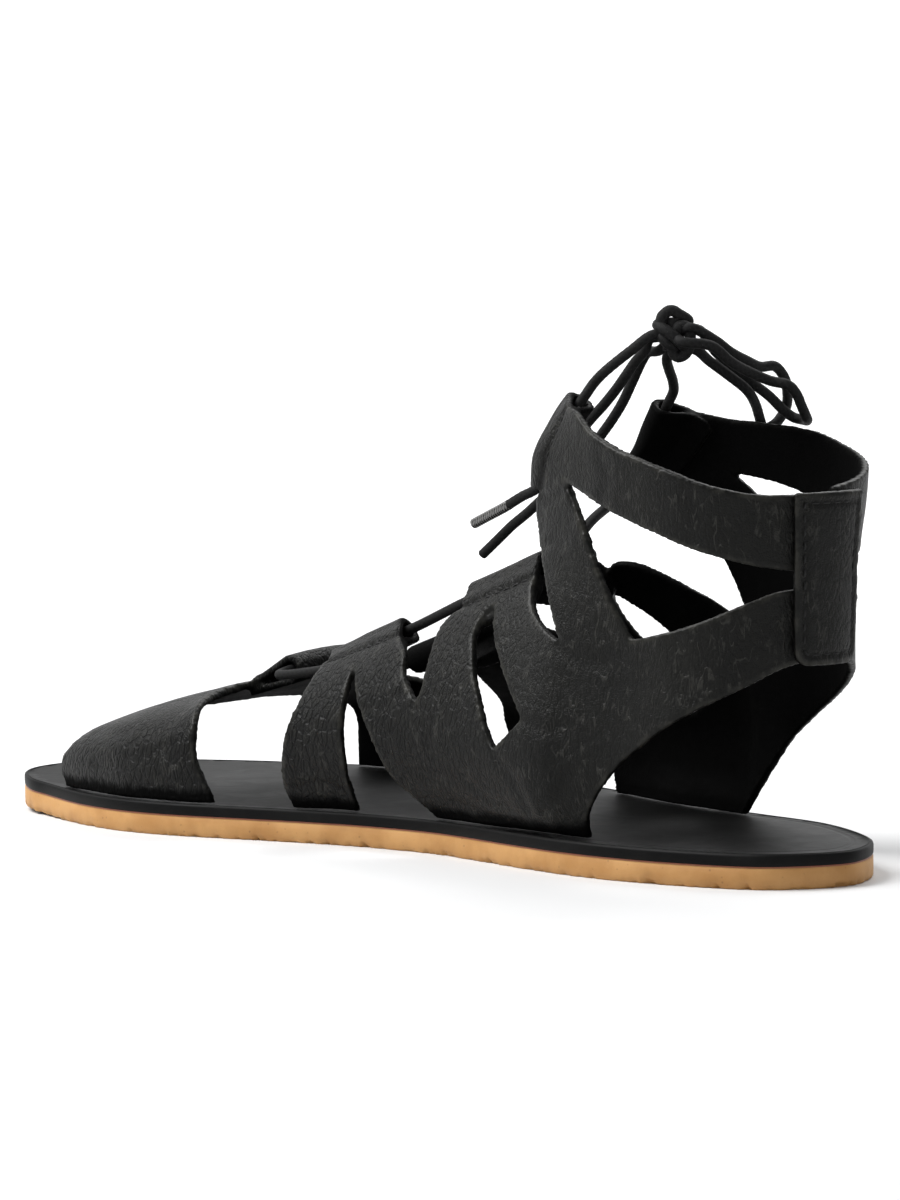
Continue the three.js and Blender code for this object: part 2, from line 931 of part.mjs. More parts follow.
// One side of the upper: straps, base, ankle cuff half and heel band half in one leather
function sidePiece(side) {
  const seam = lengthOf(heelStart - heelWrap) + clearance / 2;
  const toSeam = (rows) => rows.map(([u, z]) => [Math.max(u, seam), z]);
  const runs = [
    onSide(STRAP_FRONT[side], side),
    onSide(LOOP_ONE_REAR, side),
    onSide(LOOP_TWO_FRONT[side], side),
    onSide(LOOP_TWO_REAR[side], side),
    onSide(ANKLE_STRAP_FRONT[side], side),
    toSeam(onSide(CUFF_TOP[side], side)),
    toSeam(onSide(CUFF_BOTTOM[side], side)),
    onSide(ANKLE_STRAP_REAR[side], side),
    toSeam(onSide(HEEL_BAND_TOP[side], side)),
    toSeam(onSide(HEEL_BAND_BOTTOM[side], side)),
    onSide(LEG_FRONT, side),
    onSide(STRAP_REAR, side),
  ];
  const window = [WINDOW_FRONT, WINDOW_FOOT, WINDOW_REAR];
  const gap = joinRuns(window.map((runs) => onSide(runs[side], side)));
  const lay = (u, z, depth) => laySide(side, u, z, depth);
  let solid = closedSolid(cutSheet(joinRuns(runs), [gap], leather, sheetStep, lay));
  for (const rows of LACE_LOOPS[side]) solid = solid.add(laceLoop(sideLoop(side, rows)));
  return solid;
}

// Toe strap runs. Columns: along, turn
const TOE_FRONT = [
  [0.745, 0],
  [0.762, 0.035],
  [0.758, 0.095],
  [0.738, 0.165],
  [0.72, 0.25],
  [0.7, 0.37],
  [0.675, 0.5],
  [0.645, 0.63],
  [0.622, 0.78],
  [0.612, 0.92],
  [0.61, 1],
];
const TOE_REAR_OUTER = [
  [0.375, 1],
  [0.38, 0.93],
  [0.405, 0.85],
  [0.435, 0.76],
  [0.46, 0.67],
  [0.458, 0.6],
  [0.447, 0.545],
];
const TOE_REAR_INNER = [
  [0.447, 0.44],
  [0.442, 0.4],
  [0.42, 0.32],
  [0.385, 0.22],
  [0.362, 0.13],
  [0.357, 0.08],
  [0.35, 0.045],
  [0.331, 0.012],
  [0.318, 0],
];

function toeStrap() {
  const onToe = (rows) => rows.map(([share, turn]) => [lengthOf(share), turn * toeArc]);
  const outline = joinRuns([onToe(TOE_FRONT), onToe(TOE_REAR_OUTER), onToe(TOE_REAR_INNER)]);
  return closedSolid(cutSheet(outline, [], leather, sheetStep, layToe)).add(laceLoop(toeLoop));
}

// Sole layers share one outline and one toe spring
const soleOutline = new THREE.CatmullRomCurve3(
  [
    HEEL_TIP,
    ...SOLE_EDGE.map(([share, , inner]) => [share, inner]),
    TOE_TIP,
    ...SOLE_EDGE.map(([share, outer]) => [share, outer]).reverse(),
  ].map(([share, side]) => new THREE.Vector3(lengthOf(share), side * halfWidth, 0)),
  true,
  "centripetal"
)
  .getSpacedPoints(solePoints)
  .slice(0, -1)
  .map((point) => new THREE.Vector2(point.x, point.y));

function soleLayer(bottom, thickness) {
  const springStart = 0.62;
  const lift = (x) => toeSpring * Math.max(0, (x / halfLength - springStart) / (1 - springStart)) ** 2;
  const place = (x, y, height) => new THREE.Vector3(x, y, bottom + height + lift(x));
  return closedSolid(cutSheet(soleOutline, [], thickness, soleStep, place));
}

// Strip over the two ends at the back of the heel
function heelStrip() {
  const half = stripWidth / 2;
  const low = footLine + stripLow * upperHeight;
  const high = footLine + stripHigh * upperHeight;
  const shape = new THREE.Shape();
  shape.moveTo(-half, high);
  shape.lineTo(-half, low + stripCorner);
  shape.quadraticCurveTo(-half, low, -half + stripCorner, low);
  shape.lineTo(half - stripCorner, low);
  shape.quadraticCurveTo(half, low, half, low + stripCorner);
  shape.lineTo(half, high);
  const seam = lengthOf(heelStart - heelWrap);
  const place = (u, z, depth) => {
    const across = u + stripLean * smooth(low, high, z);
    const side = across < 0 ? LATERAL : MEDIAL;
    return laySide(side, seam + Math.abs(across), z, depth - leather - clearance);
  };
  return closedSolid(cutSheet(shape.getPoints(6), [], leather, stripStep, place));
}

// Round lace along a path
function laceTube(points, steps) {
  const path = new THREE.CatmullRomCurve3(points, false, "centripetal");
  const section = new THREE.Shape(
    Array.from({ length: laceSides }, (_, k) => {
      const angle = (2 * Math.PI * k) / laceSides;
      return new THREE.Vector2(Math.cos(angle), Math.sin(angle)).multiplyScalar(laceDiameter / 2);
    })
  );
  return new THREE.ExtrudeGeometry(section, { steps, extrudePath: path, bevelEnabled: false });
}

// Half of the lace: from the toe loop through two loops of one side,
// over to the third loop of the other side and on towards the knot
function laceRoute(side) {
  const other = -side;
  const [one, two] = LACE_LOOPS[side].map((rows) => sideLoop(side, rows));
  const three = sideLoop(other, LACE_LOOPS[other][2]);
  const centre = (loop, way) => loopFrame(loop, way).centre;
  const past = (loop, way, distance) => {
    const ends = way ? [centre(loop, 1), centre(loop, 0.8)] : [centre(loop, 0), centre(loop, 0.2)];
    return ends[0].clone().addScaledVector(ends[0].clone().sub(ends[1]).normalize(), distance);
  };
  const inTunnel = [0, 0.2, 0.4, 0.6, 0.8, 1];
  const run = (loop) => [
    past(loop, 0, tunnelLead),
    past(loop, 0, tunnelLead / 3),
    ...inTunnel.map((way) => centre(loop, way)),
    past(loop, 1, tunnelLead / 3),
    past(loop, 1, tunnelLead),
  ];
  const toeEnd = side === MEDIAL ? 0 : 1;
  const crossing = past(two, 1, tunnelLead).lerp(past(three, 0, tunnelLead), 0.5);
  crossing.z += side * crossingLift;
  const beyond = past(toeLoop, toeEnd, tunnelLead);
  beyond.x -= tunnelLead / 3;
  return [
    centre(toeLoop, 0.5),
    centre(toeLoop, toeEnd === 0 ? 0.25 : 0.75),
    centre(toeLoop, toeEnd),
    beyond,
    ...run(one),
    ...run(two),
    crossing,
    ...run(three),
    ...pointsOf(TO_KNOT[other]),
  ];
}

function knotCore(radius, height) {
  const core = new THREE.SphereGeometry(1, 12, 10);
  core.scale(radius, radius, height);
  return solidOf(core);
}

// Knot: a core with two turns of lace round it
function knotSolid() {
  let solid = knotCore(knotRadius, knotHeight);
  for (const [height, lean, turn] of KNOT_TURNS) {
    const ring = new THREE.TorusGeometry(knotTurnRadius, laceDiameter / 2, 8, 14);
    ring.rotateX(lean);
    ring.rotateZ(turn);
    ring.translate(0, 0, height);
    solid = solid.add(solidOf(ring));
  }
  return solid.translate(KNOT);
}

// What comes out of the knot starts a little outside its turns
const knotReach = knotTurnRadius + laceDiameter / 2 + clearance;
const knotRoom = knotCore(knotSlack * knotReach, knotReach + knotHeight - knotRadius).translate(KNOT);
const outsideKnot = (tube) => solidOf(tube).subtract(knotRoom);
const looseCord = (rows, steps) => outsideKnot(laceTube(pointsOf(rows), steps));

const medialLace = outsideKnot(laceTube(laceRoute(MEDIAL), laceSteps));
const lateralLace = outsideKnot(laceTube(laceRoute(LATERAL), laceSteps));

const blackLeather = new THREE.MeshStandardMaterial({ color: 0x1f1f1f, roughness: 0.55, metalness: 0 });
const gum = new THREE.MeshStandardMaterial({ color: 0xc8945a, roughness: 0.6, metalness: 0 });
const insoleLeather = new THREE.MeshStandardMaterial({ color: 0x262626, roughness: 0.4, metalness: 0 });
const waxedLace = new THREE.MeshStandardMaterial({ color: 0x161616, roughness: 0.7, metalness: 0 });

const sandal = new THREE.Group();

function addPiece(name, solid, material) {
  const mesh = new THREE.Mesh(geometryOf(solid), material);
  mesh.name = name;
  sandal.add(mesh);
}

addPiece("outsole", soleLayer(0, gumThickness), gum);
addPiece("insole", soleLayer(gumThickness + clearance, insoleThickness), insoleLeather);
addPiece("toe_strap", toeStrap(), blackLeather);
addPiece("quarter_medial", sidePiece(MEDIAL), blackLeather);
addPiece("quarter_lateral", sidePiece(LATERAL), blackLeather);
addPiece("heel_strip", heelStrip(), blackLeather);
addPiece("lace", medialLace.add(lateralLace), waxedLace);
addPiece("lace_knot", knotSolid(), waxedLace);
addPiece("bow_loop_upper", looseCord(UPPER_BOW, bowSteps), waxedLace);
addPiece("bow_loop_lower", looseCord(LOWER_BOW, bowSteps), waxedLace);
addPiece("lace_end_long", looseCord(LONG_END, endSteps), waxedLace);
addPiece("lace_end_short", looseCord(SHORT_END, endSteps), waxedLace);

export default sandal;
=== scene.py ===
# %% [markdown]
# A flat lace-up sandal: a gum sole, a black insole, leather straps cut from flat hides and one
# long round lace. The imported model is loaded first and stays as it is. Every soft piece is then
# made again, finer, from the same surfaces: sizes are in millimetres until a mesh is made.
# %% The frame and the sandal's own sizes
import math
import random

import bpy
import numpy as np
from mathutils import Matrix, Vector, noise
from mathutils.geometry import delaunay_2d_cdt
from mathutils.kdtree import KDTree


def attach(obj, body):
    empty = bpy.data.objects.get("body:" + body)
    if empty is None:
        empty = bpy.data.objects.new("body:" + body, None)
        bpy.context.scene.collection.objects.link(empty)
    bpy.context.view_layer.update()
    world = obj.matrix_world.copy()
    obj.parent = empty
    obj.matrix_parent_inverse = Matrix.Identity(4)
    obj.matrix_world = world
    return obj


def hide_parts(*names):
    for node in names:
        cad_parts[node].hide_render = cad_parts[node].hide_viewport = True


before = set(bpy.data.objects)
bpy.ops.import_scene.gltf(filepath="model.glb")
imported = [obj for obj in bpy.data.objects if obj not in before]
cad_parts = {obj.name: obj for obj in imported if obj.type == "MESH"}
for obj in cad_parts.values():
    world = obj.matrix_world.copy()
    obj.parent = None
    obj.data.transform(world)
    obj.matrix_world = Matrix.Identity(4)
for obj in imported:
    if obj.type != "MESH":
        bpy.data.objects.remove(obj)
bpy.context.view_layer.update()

MM = 0.001
MEDIAL, LATERAL = 1, -1
HALF_LENGTH, HALF_WIDTH = 127, 48.5
GUM, INSOLE, TOE_SPRING, SPRING_START = 4.6, 2.7, 1.8, 0.62
LEATHER, LACE, CLEARANCE, TUNNEL_ROOM = 1.75, 2.3, 0.3, 0.6
UPPER_HEIGHT, HALF_ANKLE, MIDDLE_LINE = 96.4, 26.5, 2.25
INSET = {MEDIAL: 2, LATERAL: 3.5}
FOOT_LINE = GUM + CLEARANCE + INSOLE + CLEARANCE
BODY = "root"
print("nodes in the frame:", len(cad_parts))

# %% [markdown]
# The camera stands low behind the inner ankle, as the photographer did, with a long lens.
# Its three directions came from matching the sole's outline, so they are written as vectors.
# %% Camera
CAMERA_PLACE = Vector((-844.5, 778.3, 139.2)) * MM
CAMERA_RIGHT = Vector((-0.676801, -0.736078, -0.011377))
CAMERA_UP = Vector((0.046475, -0.058146, 0.997226))
LENS = 150.19
look = CAMERA_RIGHT.cross(CAMERA_UP) * -1
camera = bpy.data.objects.new("camera", bpy.data.cameras.new("camera"))
camera.data.lens = LENS
camera.data.sensor_width = 36
camera.data.clip_start = 0.01
camera.matrix_world = Matrix.Translation(CAMERA_PLACE) @ Matrix(
    [[CAMERA_RIGHT[i], CAMERA_UP[i], -look[i]] for i in range(3)]
).to_4x4()
bpy.context.scene.collection.objects.link(camera)
bpy.context.scene.camera = camera
bpy.context.scene.view_settings.view_transform = "Standard"
print("camera looks along", [round(v, 3) for v in look])

# %% [markdown]
# Two small tools carry the whole form. One reads a smooth value from a table of sections, the
# other draws an even line through given points.
# %% Tables and lines
def along(rows, x, column=1):
    last = len(rows) - 1
    if x <= rows[0][0]:
        return rows[0][column]
    if x >= rows[last][0]:
        return rows[last][column]
    i = 0
    while x > rows[i + 1][0]:
        i += 1

    def rise(k):
        return (rows[k + 1][column] - rows[k][column]) / (rows[k + 1][0] - rows[k][0])

    def slope(k):
        if k == 0:
            return rise(0)
        if k == last:
            return rise(last - 1)
        before, after = rise(k - 1), rise(k)
        return 0 if before * after <= 0 else 2 * before * after / (before + after)

    h = rows[i + 1][0] - rows[i][0]
    t = (x - rows[i][0]) / h
    s = 1 - t
    return (
        rows[i][column] * s * s * (1 + 2 * t)
        + rows[i + 1][column] * t * t * (3 - 2 * t)
        + h * s * t * (slope(i) * s - slope(i + 1) * t)
    )


def mix(a, b, t):
    return a + (b - a) * t


def smooth(start, end, x):
    t = min(1, max(0, (x - start) / (end - start)))
    return t * t * (3 - 2 * t)


def line_through(points, step, closed=False):
    p = np.asarray(points, float)
    p = np.vstack([p[-1], p, p[:2]]) if closed else np.vstack([2 * p[0] - p[1], p, 2 * p[-1] - p[-2]])
    dense = []
    for a, b, c, d in zip(p, p[1:], p[2:], p[3:]):
        t1 = np.linalg.norm(b - a) ** 0.5
        t2 = t1 + np.linalg.norm(c - b) ** 0.5
        t3 = t2 + np.linalg.norm(d - c) ** 0.5
        t = np.linspace(t1, t2, 24, endpoint=False)[:, None]
        ab = (t1 - t) / t1 * a + t / t1 * b
        bc = (t2 - t) / (t2 - t1) * b + (t - t1) / (t2 - t1) * c
        cd = (t3 - t) / (t3 - t2) * c + (t - t2) / (t3 - t2) * d
        abc = (t2 - t) / t2 * ab + t / t2 * bc
        bcd = (t3 - t) / (t3 - t1) * bc + (t - t1) / (t3 - t1) * cd
        dense.append((t2 - t) / (t2 - t1) * abc + (t - t1) / (t2 - t1) * bcd)
    dense = np.vstack(dense + [p[-2:-1]])
    run = np.r_[0, np.cumsum(np.linalg.norm(np.diff(dense, axis=0), axis=1))]
    stops = np.linspace(0, run[-1], max(2, round(run[-1] / step)) + 1)
    line = np.column_stack([np.interp(stops, run, dense[:, k]) for k in range(dense.shape[1])])
    return line[:-1] if closed else line


def run_length(line):
    return float(np.linalg.norm(np.diff(np.asarray(line), axis=0), axis=1).sum())


# %% [markdown]
# The foot that the straps were drawn up on is one surface: half widths from the ankle and from
# the sole's edge, a crown over the instep and a round back of the heel. All values are shares.
# %% Surface of the sides
# Edge of the sole. Columns: along, lateral, medial
SOLE_EDGE = [
    (-0.985, -0.02, 0.27), (-0.934, -0.22, 0.465), (-0.856, -0.376, 0.572),
    (-0.698, -0.568, 0.677), (-0.54, -0.628, 0.702), (-0.383, -0.675, 0.661),
    (-0.226, -0.768, 0.603), (-0.147, -0.826, 0.593), (0.01, -0.929, 0.642),
    (0.168, -0.989, 0.756), (0.247, -0.999, 0.826), (0.404, -0.97, 0.96), (0.522, -0.912, 0.999),
    (0.64, -0.818, 0.968), (0.798, -0.576, 0.865), (0.877, -0.374, 0.815),
    (0.956, -0.104, 0.681), (0.988, 0.09, 0.545),
]
HEEL_TIP, TOE_TIP = (-1, 0.125), (1, 0.33)
# Half widths of the foot. Columns: up, half
MID_HALF = [
    (0, 1.06), (0.09, 1.226), (0.18, 1.28), (0.44, 1.17), (0.79, 0.985), (1, 1),
]
# At the heel. Columns: up, lateral half, medial half
HEEL_HALF = [
    (0, 0.96, 0.96), (0.18, 1.04, 1.04), (0.44, 0.98, 0.98), (0.6, 0.99, 0.98),
    (0.79, 1.08, 1.02), (1, 1.14, 1.05),
]
# Columns: up, along
HEEL_BACK = [
    (0, -0.912), (0.44, -0.92), (0.7, -0.938), (1, -0.955),
]
# Columns: along, up
INSTEP_CREST = [
    (-0.52, 1.27), (-0.48, 0.92), (-0.44, 0.79), (-0.405, 0.735), (-0.354, 0.71),
    (-0.182, 0.617), (-0.005, 0.507), (0.178, 0.395), (0.24, 0.355),
]
# Columns: up, along
ANKLE_FRONT = [
    (0.44, 0.1), (0.52, -0.08), (0.6, -0.2), (0.67, -0.225), (0.72, -0.222), (0.83, -0.215),
    (0.92, -0.3), (1, -0.38),
]
NOTCH_LINE = [
    (0.44, -0.527), (0.5, -0.46), (0.585, -0.41), (0.65, -0.385), (0.7, -0.35), (0.76, -0.28),
    (1, -0.25),
]
CREST_START, ANKLE_START, HEEL_START, HEEL_WRAP = 0.18, -0.7, -0.693, 0.362
HEEL_BLEND, FOOT_BLEND, NOTCH_BLEND = -0.45, 0.42, 0.02
PROBE = 0.4


def edge_of(side, x):
    return HALF_WIDTH * along(SOLE_EDGE, x / HALF_LENGTH, 2 if side == MEDIAL else 1)


def half_at(side, x, z):
    up, share = (z - FOOT_LINE) / UPPER_HEIGHT, x / HALF_LENGTH
    foot = side * (edge_of(side, x) - MIDDLE_LINE) - INSET[side]
    low = 1 - smooth(0, FOOT_BLEND, up)
    mid = HALF_ANKLE * along(MID_HALF, up) + (foot - HALF_ANKLE * MID_HALF[0][1]) * low
    heel = HALF_ANKLE * along(HEEL_HALF, up, 2 if side == MEDIAL else 1)
    half = mix(mid, heel, smooth(HEEL_BLEND, HEEL_START + NOTCH_BLEND, share))
    rise = max(0, (up - CREST_START) / (along(INSTEP_CREST, share) - CREST_START))
    crown = math.sqrt(max(0, 1 - rise * rise))
    reach = max(0, (share - ANKLE_START) / (along(ANKLE_FRONT, up) - ANKLE_START))
    front = math.sqrt(max(0, 1 - reach * reach))
    notch = along(NOTCH_LINE, up)
    return half * mix(front, crown, smooth(notch - NOTCH_BLEND, notch + NOTCH_BLEND, share))


def side_point(side, u, z):
    start = HEEL_START * HALF_LENGTH
    if u >= start:
        return Vector((u, MIDDLE_LINE + side * half_at(side, u, z), z))
    up = (z - FOOT_LINE) / UPPER_HEIGHT
    depth = start - HALF_LENGTH * along(HEEL_BACK, up)
    turn = (start - u) / (HEEL_WRAP * HALF_LENGTH) * math.pi / 2
    half = half_at(side, start, z)
    return Vector((start - depth * math.sin(turn), MIDDLE_LINE + side * half * math.cos(turn), z))


def inward_of(surface, u, v, du, dv, flip):
    lengthwise = surface(u + du, v) - surface(u - du, v)
    across = surface(u, v + dv) - surface(u, v - dv)
    return (lengthwise.cross(across) * flip).normalized()


def side_spot(side, u, z):
    """Outer face and the way in from it"""
    inward = inward_of(lambda a, b: side_point(side, a, b), u, z, PROBE, PROBE, side)
    inward.z *= smooth(0, 0.08, (z - FOOT_LINE) / UPPER_HEIGHT)
    return side_point(side, u, z), inward.normalized()


# %% [markdown]
# The toe strap is an arch of its own: it leaves the insole upright and lies low over the toes.
# %% Surface of the toe strap
# Columns: along, up
TOE_ARCH = [
    (0.3, 0.35), (0.323, 0.34), (0.37, 0.31), (0.43, 0.268), (0.5, 0.245), (0.57, 0.226),
    (0.7, 0.178), (0.78, 0.14),
]
TOE_SIDE, TOE_TOP, TOE_SHOULDER, TOE_CROWN, TOE_LEAN, TOE_ARC = 0.72, 0.62, 0.42, 0.07, 3.5, 125


def toe_point(x, turn):
    inner = edge_of(MEDIAL, x) - INSET[MEDIAL]
    outer = edge_of(LATERAL, x) + INSET[LATERAL]
    angle = math.pi * min(1, max(0, turn))
    c, s = math.cos(angle), math.sin(angle)
    across = math.copysign(abs(c) ** TOE_SIDE, c)
    round_top = mix(TOE_TOP, TOE_SHOULDER, smooth(0.4, 0.7, turn))
    rise = max(0, s) ** round_top * (1 + TOE_CROWN * smooth(0.3, 0.6, turn))
    height = UPPER_HEIGHT * along(TOE_ARCH, x / HALF_LENGTH) * rise
    return Vector((x, mix(outer, inner, 0.5 + across / 2) + TOE_LEAN * s * c, FOOT_LINE + height))


def toe_spot(x, arc):
    wide = 3 * PROBE
    middle = min(TOE_ARC - wide, max(wide, arc))
    inward = inward_of(lambda a, b: toe_point(a, b / TOE_ARC), x, middle, PROBE, wide, 1)
    inward.z *= smooth(0, 10, min(arc, TOE_ARC - arc))
    return toe_point(x, arc / TOE_ARC), inward.normalized()


# %% [markdown]
# The hides are cut by outline. Each run between two corners is a short list, and the two sides
# share what is alike. The outer side stands a little further forward.
# %% Outlines of the two sides
# Columns: along, up
STRAP_FRONT = {
    MEDIAL: [
        (0.157, 0), (0.157, 0.055), (0.152, 0.108), (0.145, 0.162), (0.136, 0.214),
        (0.131, 0.28), (0.14, 0.342),
    ],
    LATERAL: [
        (0.14, 0), (0.156, 0.07), (0.175, 0.14), (0.168, 0.2), (0.161, 0.26), (0.145, 0.3),
        (0.129, 0.326),
    ],
}
LOOP_ONE_REAR = [
    (-0.056, 0.42), (-0.102, 0.384), (-0.118, 0.342), (-0.138, 0.312), (-0.164, 0.281),
]
LOOP_TWO_FRONT = {
    MEDIAL: [
        (-0.171, 0.281), (-0.178, 0.31), (-0.178, 0.357), (-0.172, 0.415), (-0.174, 0.456),
        (-0.192, 0.482), (-0.208, 0.492),
    ],
    LATERAL: [
        (-0.171, 0.281), (-0.177, 0.31), (-0.172, 0.357), (-0.152, 0.415), (-0.135, 0.456),
        (-0.13, 0.476), (-0.134, 0.489),
    ],
}
LOOP_TWO_REAR = {
    MEDIAL: [
        (-0.377, 0.574), (-0.391, 0.538), (-0.416, 0.5), (-0.457, 0.472), (-0.508, 0.441),
    ],
    LATERAL: [
        (-0.264, 0.566), (-0.29, 0.584), (-0.32, 0.587), (-0.358, 0.572), (-0.407, 0.54),
        (-0.47, 0.482), (-0.536, 0.43),
    ],
}
ANKLE_STRAP_FRONT = {
    MEDIAL: [
        (-0.512, 0.447), (-0.482, 0.514), (-0.436, 0.597), (-0.403, 0.657), (-0.388, 0.706),
        (-0.39, 0.75), (-0.403, 0.776),
    ],
    LATERAL: [
        (-0.541, 0.436), (-0.53, 0.49), (-0.505, 0.575), (-0.468, 0.66), (-0.425, 0.73),
        (-0.378, 0.776),
    ],
}
CUFF_TOP = {
    MEDIAL: [
        (-0.463, 0.966), (-0.508, 0.952), (-0.558, 0.914), (-0.624, 0.88), (-0.695, 0.855),
        (-0.75, 0.831), (-0.805, 0.805), (-0.854, 0.789), (-0.91, 0.778), (-1.055, 0.778),
    ],
    LATERAL: [
        (-0.463, 0.94), (-0.516, 0.922), (-0.575, 0.914), (-0.69, 0.894), (-0.765, 0.867),
        (-0.85, 0.84), (-0.93, 0.817), (-1.055, 0.79),
    ],
}
CUFF_BOTTOM = {
    MEDIAL: [
        (-1.055, 0.605), (-0.968, 0.609), (-0.914, 0.619), (-0.855, 0.635), (-0.795, 0.656),
        (-0.728, 0.688), (-0.627, 0.732), (-0.55, 0.768), (-0.484, 0.797),
    ],
    LATERAL: [
        (-1.055, 0.605), (-0.968, 0.62), (-0.88, 0.652), (-0.79, 0.697), (-0.71, 0.737),
        (-0.63, 0.769), (-0.57, 0.787), (-0.52, 0.798),
    ],
}
ANKLE_STRAP_REAR = {
    MEDIAL: [
        (-0.484, 0.797), (-0.51, 0.755), (-0.54, 0.697), (-0.561, 0.651), (-0.599, 0.572),
        (-0.636, 0.501), (-0.662, 0.452),
    ],
    LATERAL: [
        (-0.52, 0.798), (-0.57, 0.748), (-0.61, 0.695), (-0.645, 0.635), (-0.668, 0.572),
        (-0.68, 0.51), (-0.685, 0.47),
    ],
}
HEEL_BAND_TOP = {
    MEDIAL: [
        (-0.662, 0.452), (-0.717, 0.465), (-0.762, 0.478), (-0.831, 0.509), (-0.894, 0.541),
        (-0.947, 0.563), (-1.055, 0.575),
    ],
    LATERAL: [
        (-0.685, 0.47), (-0.735, 0.482), (-0.79, 0.5), (-0.85, 0.522), (-0.91, 0.545),
        (-0.96, 0.563), (-1.055, 0.575),
    ],
}
HEEL_BAND_BOTTOM = {
    MEDIAL: [
        (-1.055, 0.405), (-0.999, 0.403), (-0.945, 0.386), (-0.897, 0.357), (-0.85, 0.329),
        (-0.803, 0.302), (-0.754, 0.269), (-0.7, 0.224), (-0.648, 0.176), (-0.61, 0.122),
        (-0.586, 0.077), (-0.572, 0.041), (-0.566, 0),
    ],
    LATERAL: [
        (-1.055, 0.405), (-0.99, 0.402), (-0.93, 0.388), (-0.868, 0.36), (-0.82, 0.332),
        (-0.775, 0.303), (-0.735, 0.275), (-0.7, 0.243), (-0.66, 0.19), (-0.622, 0.122),
        (-0.6, 0.077), (-0.586, 0.041), (-0.572, 0),
    ],
}
LEG_FRONT = [
    (-0.162, 0), (-0.12, 0.055), (-0.087, 0.098), (-0.067, 0.151), (-0.05, 0.202),
    (-0.02, 0.262), (0.02, 0.333),
]
STRAP_REAR = [
    (0.029, 0.333), (0.021, 0.284), (0.017, 0.222), (0.015, 0.171), (0.017, 0.117),
    (0.02, 0.062), (0.026, 0),
]
WINDOW_FRONT = {
    MEDIAL: [
        (-0.298, 0.503), (-0.282, 0.482), (-0.278, 0.438), (-0.291, 0.398), (-0.309, 0.351),
        (-0.338, 0.288), (-0.363, 0.229), (-0.386, 0.186),
    ],
    LATERAL: [
        (-0.25, 0.515), (-0.238, 0.48), (-0.246, 0.43), (-0.272, 0.38), (-0.305, 0.33),
        (-0.325, 0.27), (-0.345, 0.213),
    ],
}
WINDOW_FOOT = {
    MEDIAL: [
        (-0.386, 0.186), (-0.418, 0.224), (-0.444, 0.253), (-0.451, 0.268),
    ],
    LATERAL: [
        (-0.345, 0.213), (-0.385, 0.247), (-0.42, 0.276), (-0.43, 0.29),
    ],
}
WINDOW_REAR = {
    MEDIAL: [
        (-0.451, 0.268), (-0.42, 0.308), (-0.373, 0.376), (-0.331, 0.441), (-0.304, 0.503),
    ],
    LATERAL: [
        (-0.43, 0.29), (-0.41, 0.33), (-0.36, 0.4), (-0.305, 0.465), (-0.25, 0.515),
    ],
}
# Lace loops. Columns: way along, fold along, fold up, stitch along, stitch up
LACE_LOOPS = {
    MEDIAL: [
        [
            (0, 0.178, 0.366, 0.128, 0.345), (1, -0.005, 0.461, -0.052, 0.421),
        ],
        [
            (0, -0.182, 0.556, -0.209, 0.494), (1, -0.354, 0.64, -0.377, 0.575),
        ],
        [
            (0, -0.352, 0.777, -0.405, 0.775), (0.45, -0.364, 0.85, -0.428, 0.865),
            (1, -0.412, 1, -0.463, 0.966),
        ],
    ],
    LATERAL: [
        [
            (0, 0.235, 0.348, 0.184, 0.326), (1, 0.02, 0.462, -0.03, 0.42),
        ],
        [
            (0, -0.1, 0.546, -0.134, 0.49), (1, -0.235, 0.622, -0.264, 0.565),
        ],
        [
            (0, -0.305, 0.777, -0.375, 0.775), (0.45, -0.338, 0.85, -0.415, 0.855),
            (1, -0.408, 0.975, -0.463, 0.94),
        ],
    ],
}
# Columns: way along, fold along, fold turn, stitch along, stitch turn
TOE_LOOP = [
    (0, 0.323, 0.42, 0.449, 0.44), (1, 0.323, 0.528, 0.449, 0.545),
]
# Toe strap. Columns: along, turn
TOE_FRONT = [
    (0.745, 0), (0.762, 0.035), (0.758, 0.095), (0.738, 0.165), (0.72, 0.25), (0.7, 0.37),
    (0.675, 0.5), (0.645, 0.63), (0.622, 0.78), (0.612, 0.92), (0.61, 1),
]
TOE_REAR_OUTER = [
    (0.375, 1), (0.38, 0.93), (0.405, 0.85), (0.435, 0.76), (0.46, 0.67), (0.458, 0.6),
    (0.447, 0.545),
]
TOE_REAR_INNER = [
    (0.447, 0.44), (0.442, 0.4), (0.42, 0.32), (0.385, 0.22), (0.362, 0.13), (0.357, 0.08),
    (0.35, 0.045), (0.331, 0.012), (0.318, 0),
]
FOOT_SHIFT, STRAP_SHIFT = 0.045, 0.055
OUTLINE_STEP = 0.9


def on_side(rows, side):
    places = []
    for share, up in rows:
        forward = FOOT_SHIFT * smooth(0.3, 0, up) + STRAP_SHIFT * smooth(-0.2, 0.1, share)
        shift = forward if side == LATERAL else 0
        places.append(((share + shift) * HALF_LENGTH, FOOT_LINE + up * UPPER_HEIGHT))
    return places


def join_runs(runs):
    points = np.vstack([line_through(run, OUTLINE_STEP) for run in runs])
    step = np.linalg.norm(points - np.roll(points, 1, axis=0), axis=1)
    return points[step > OUTLINE_STEP / 4]


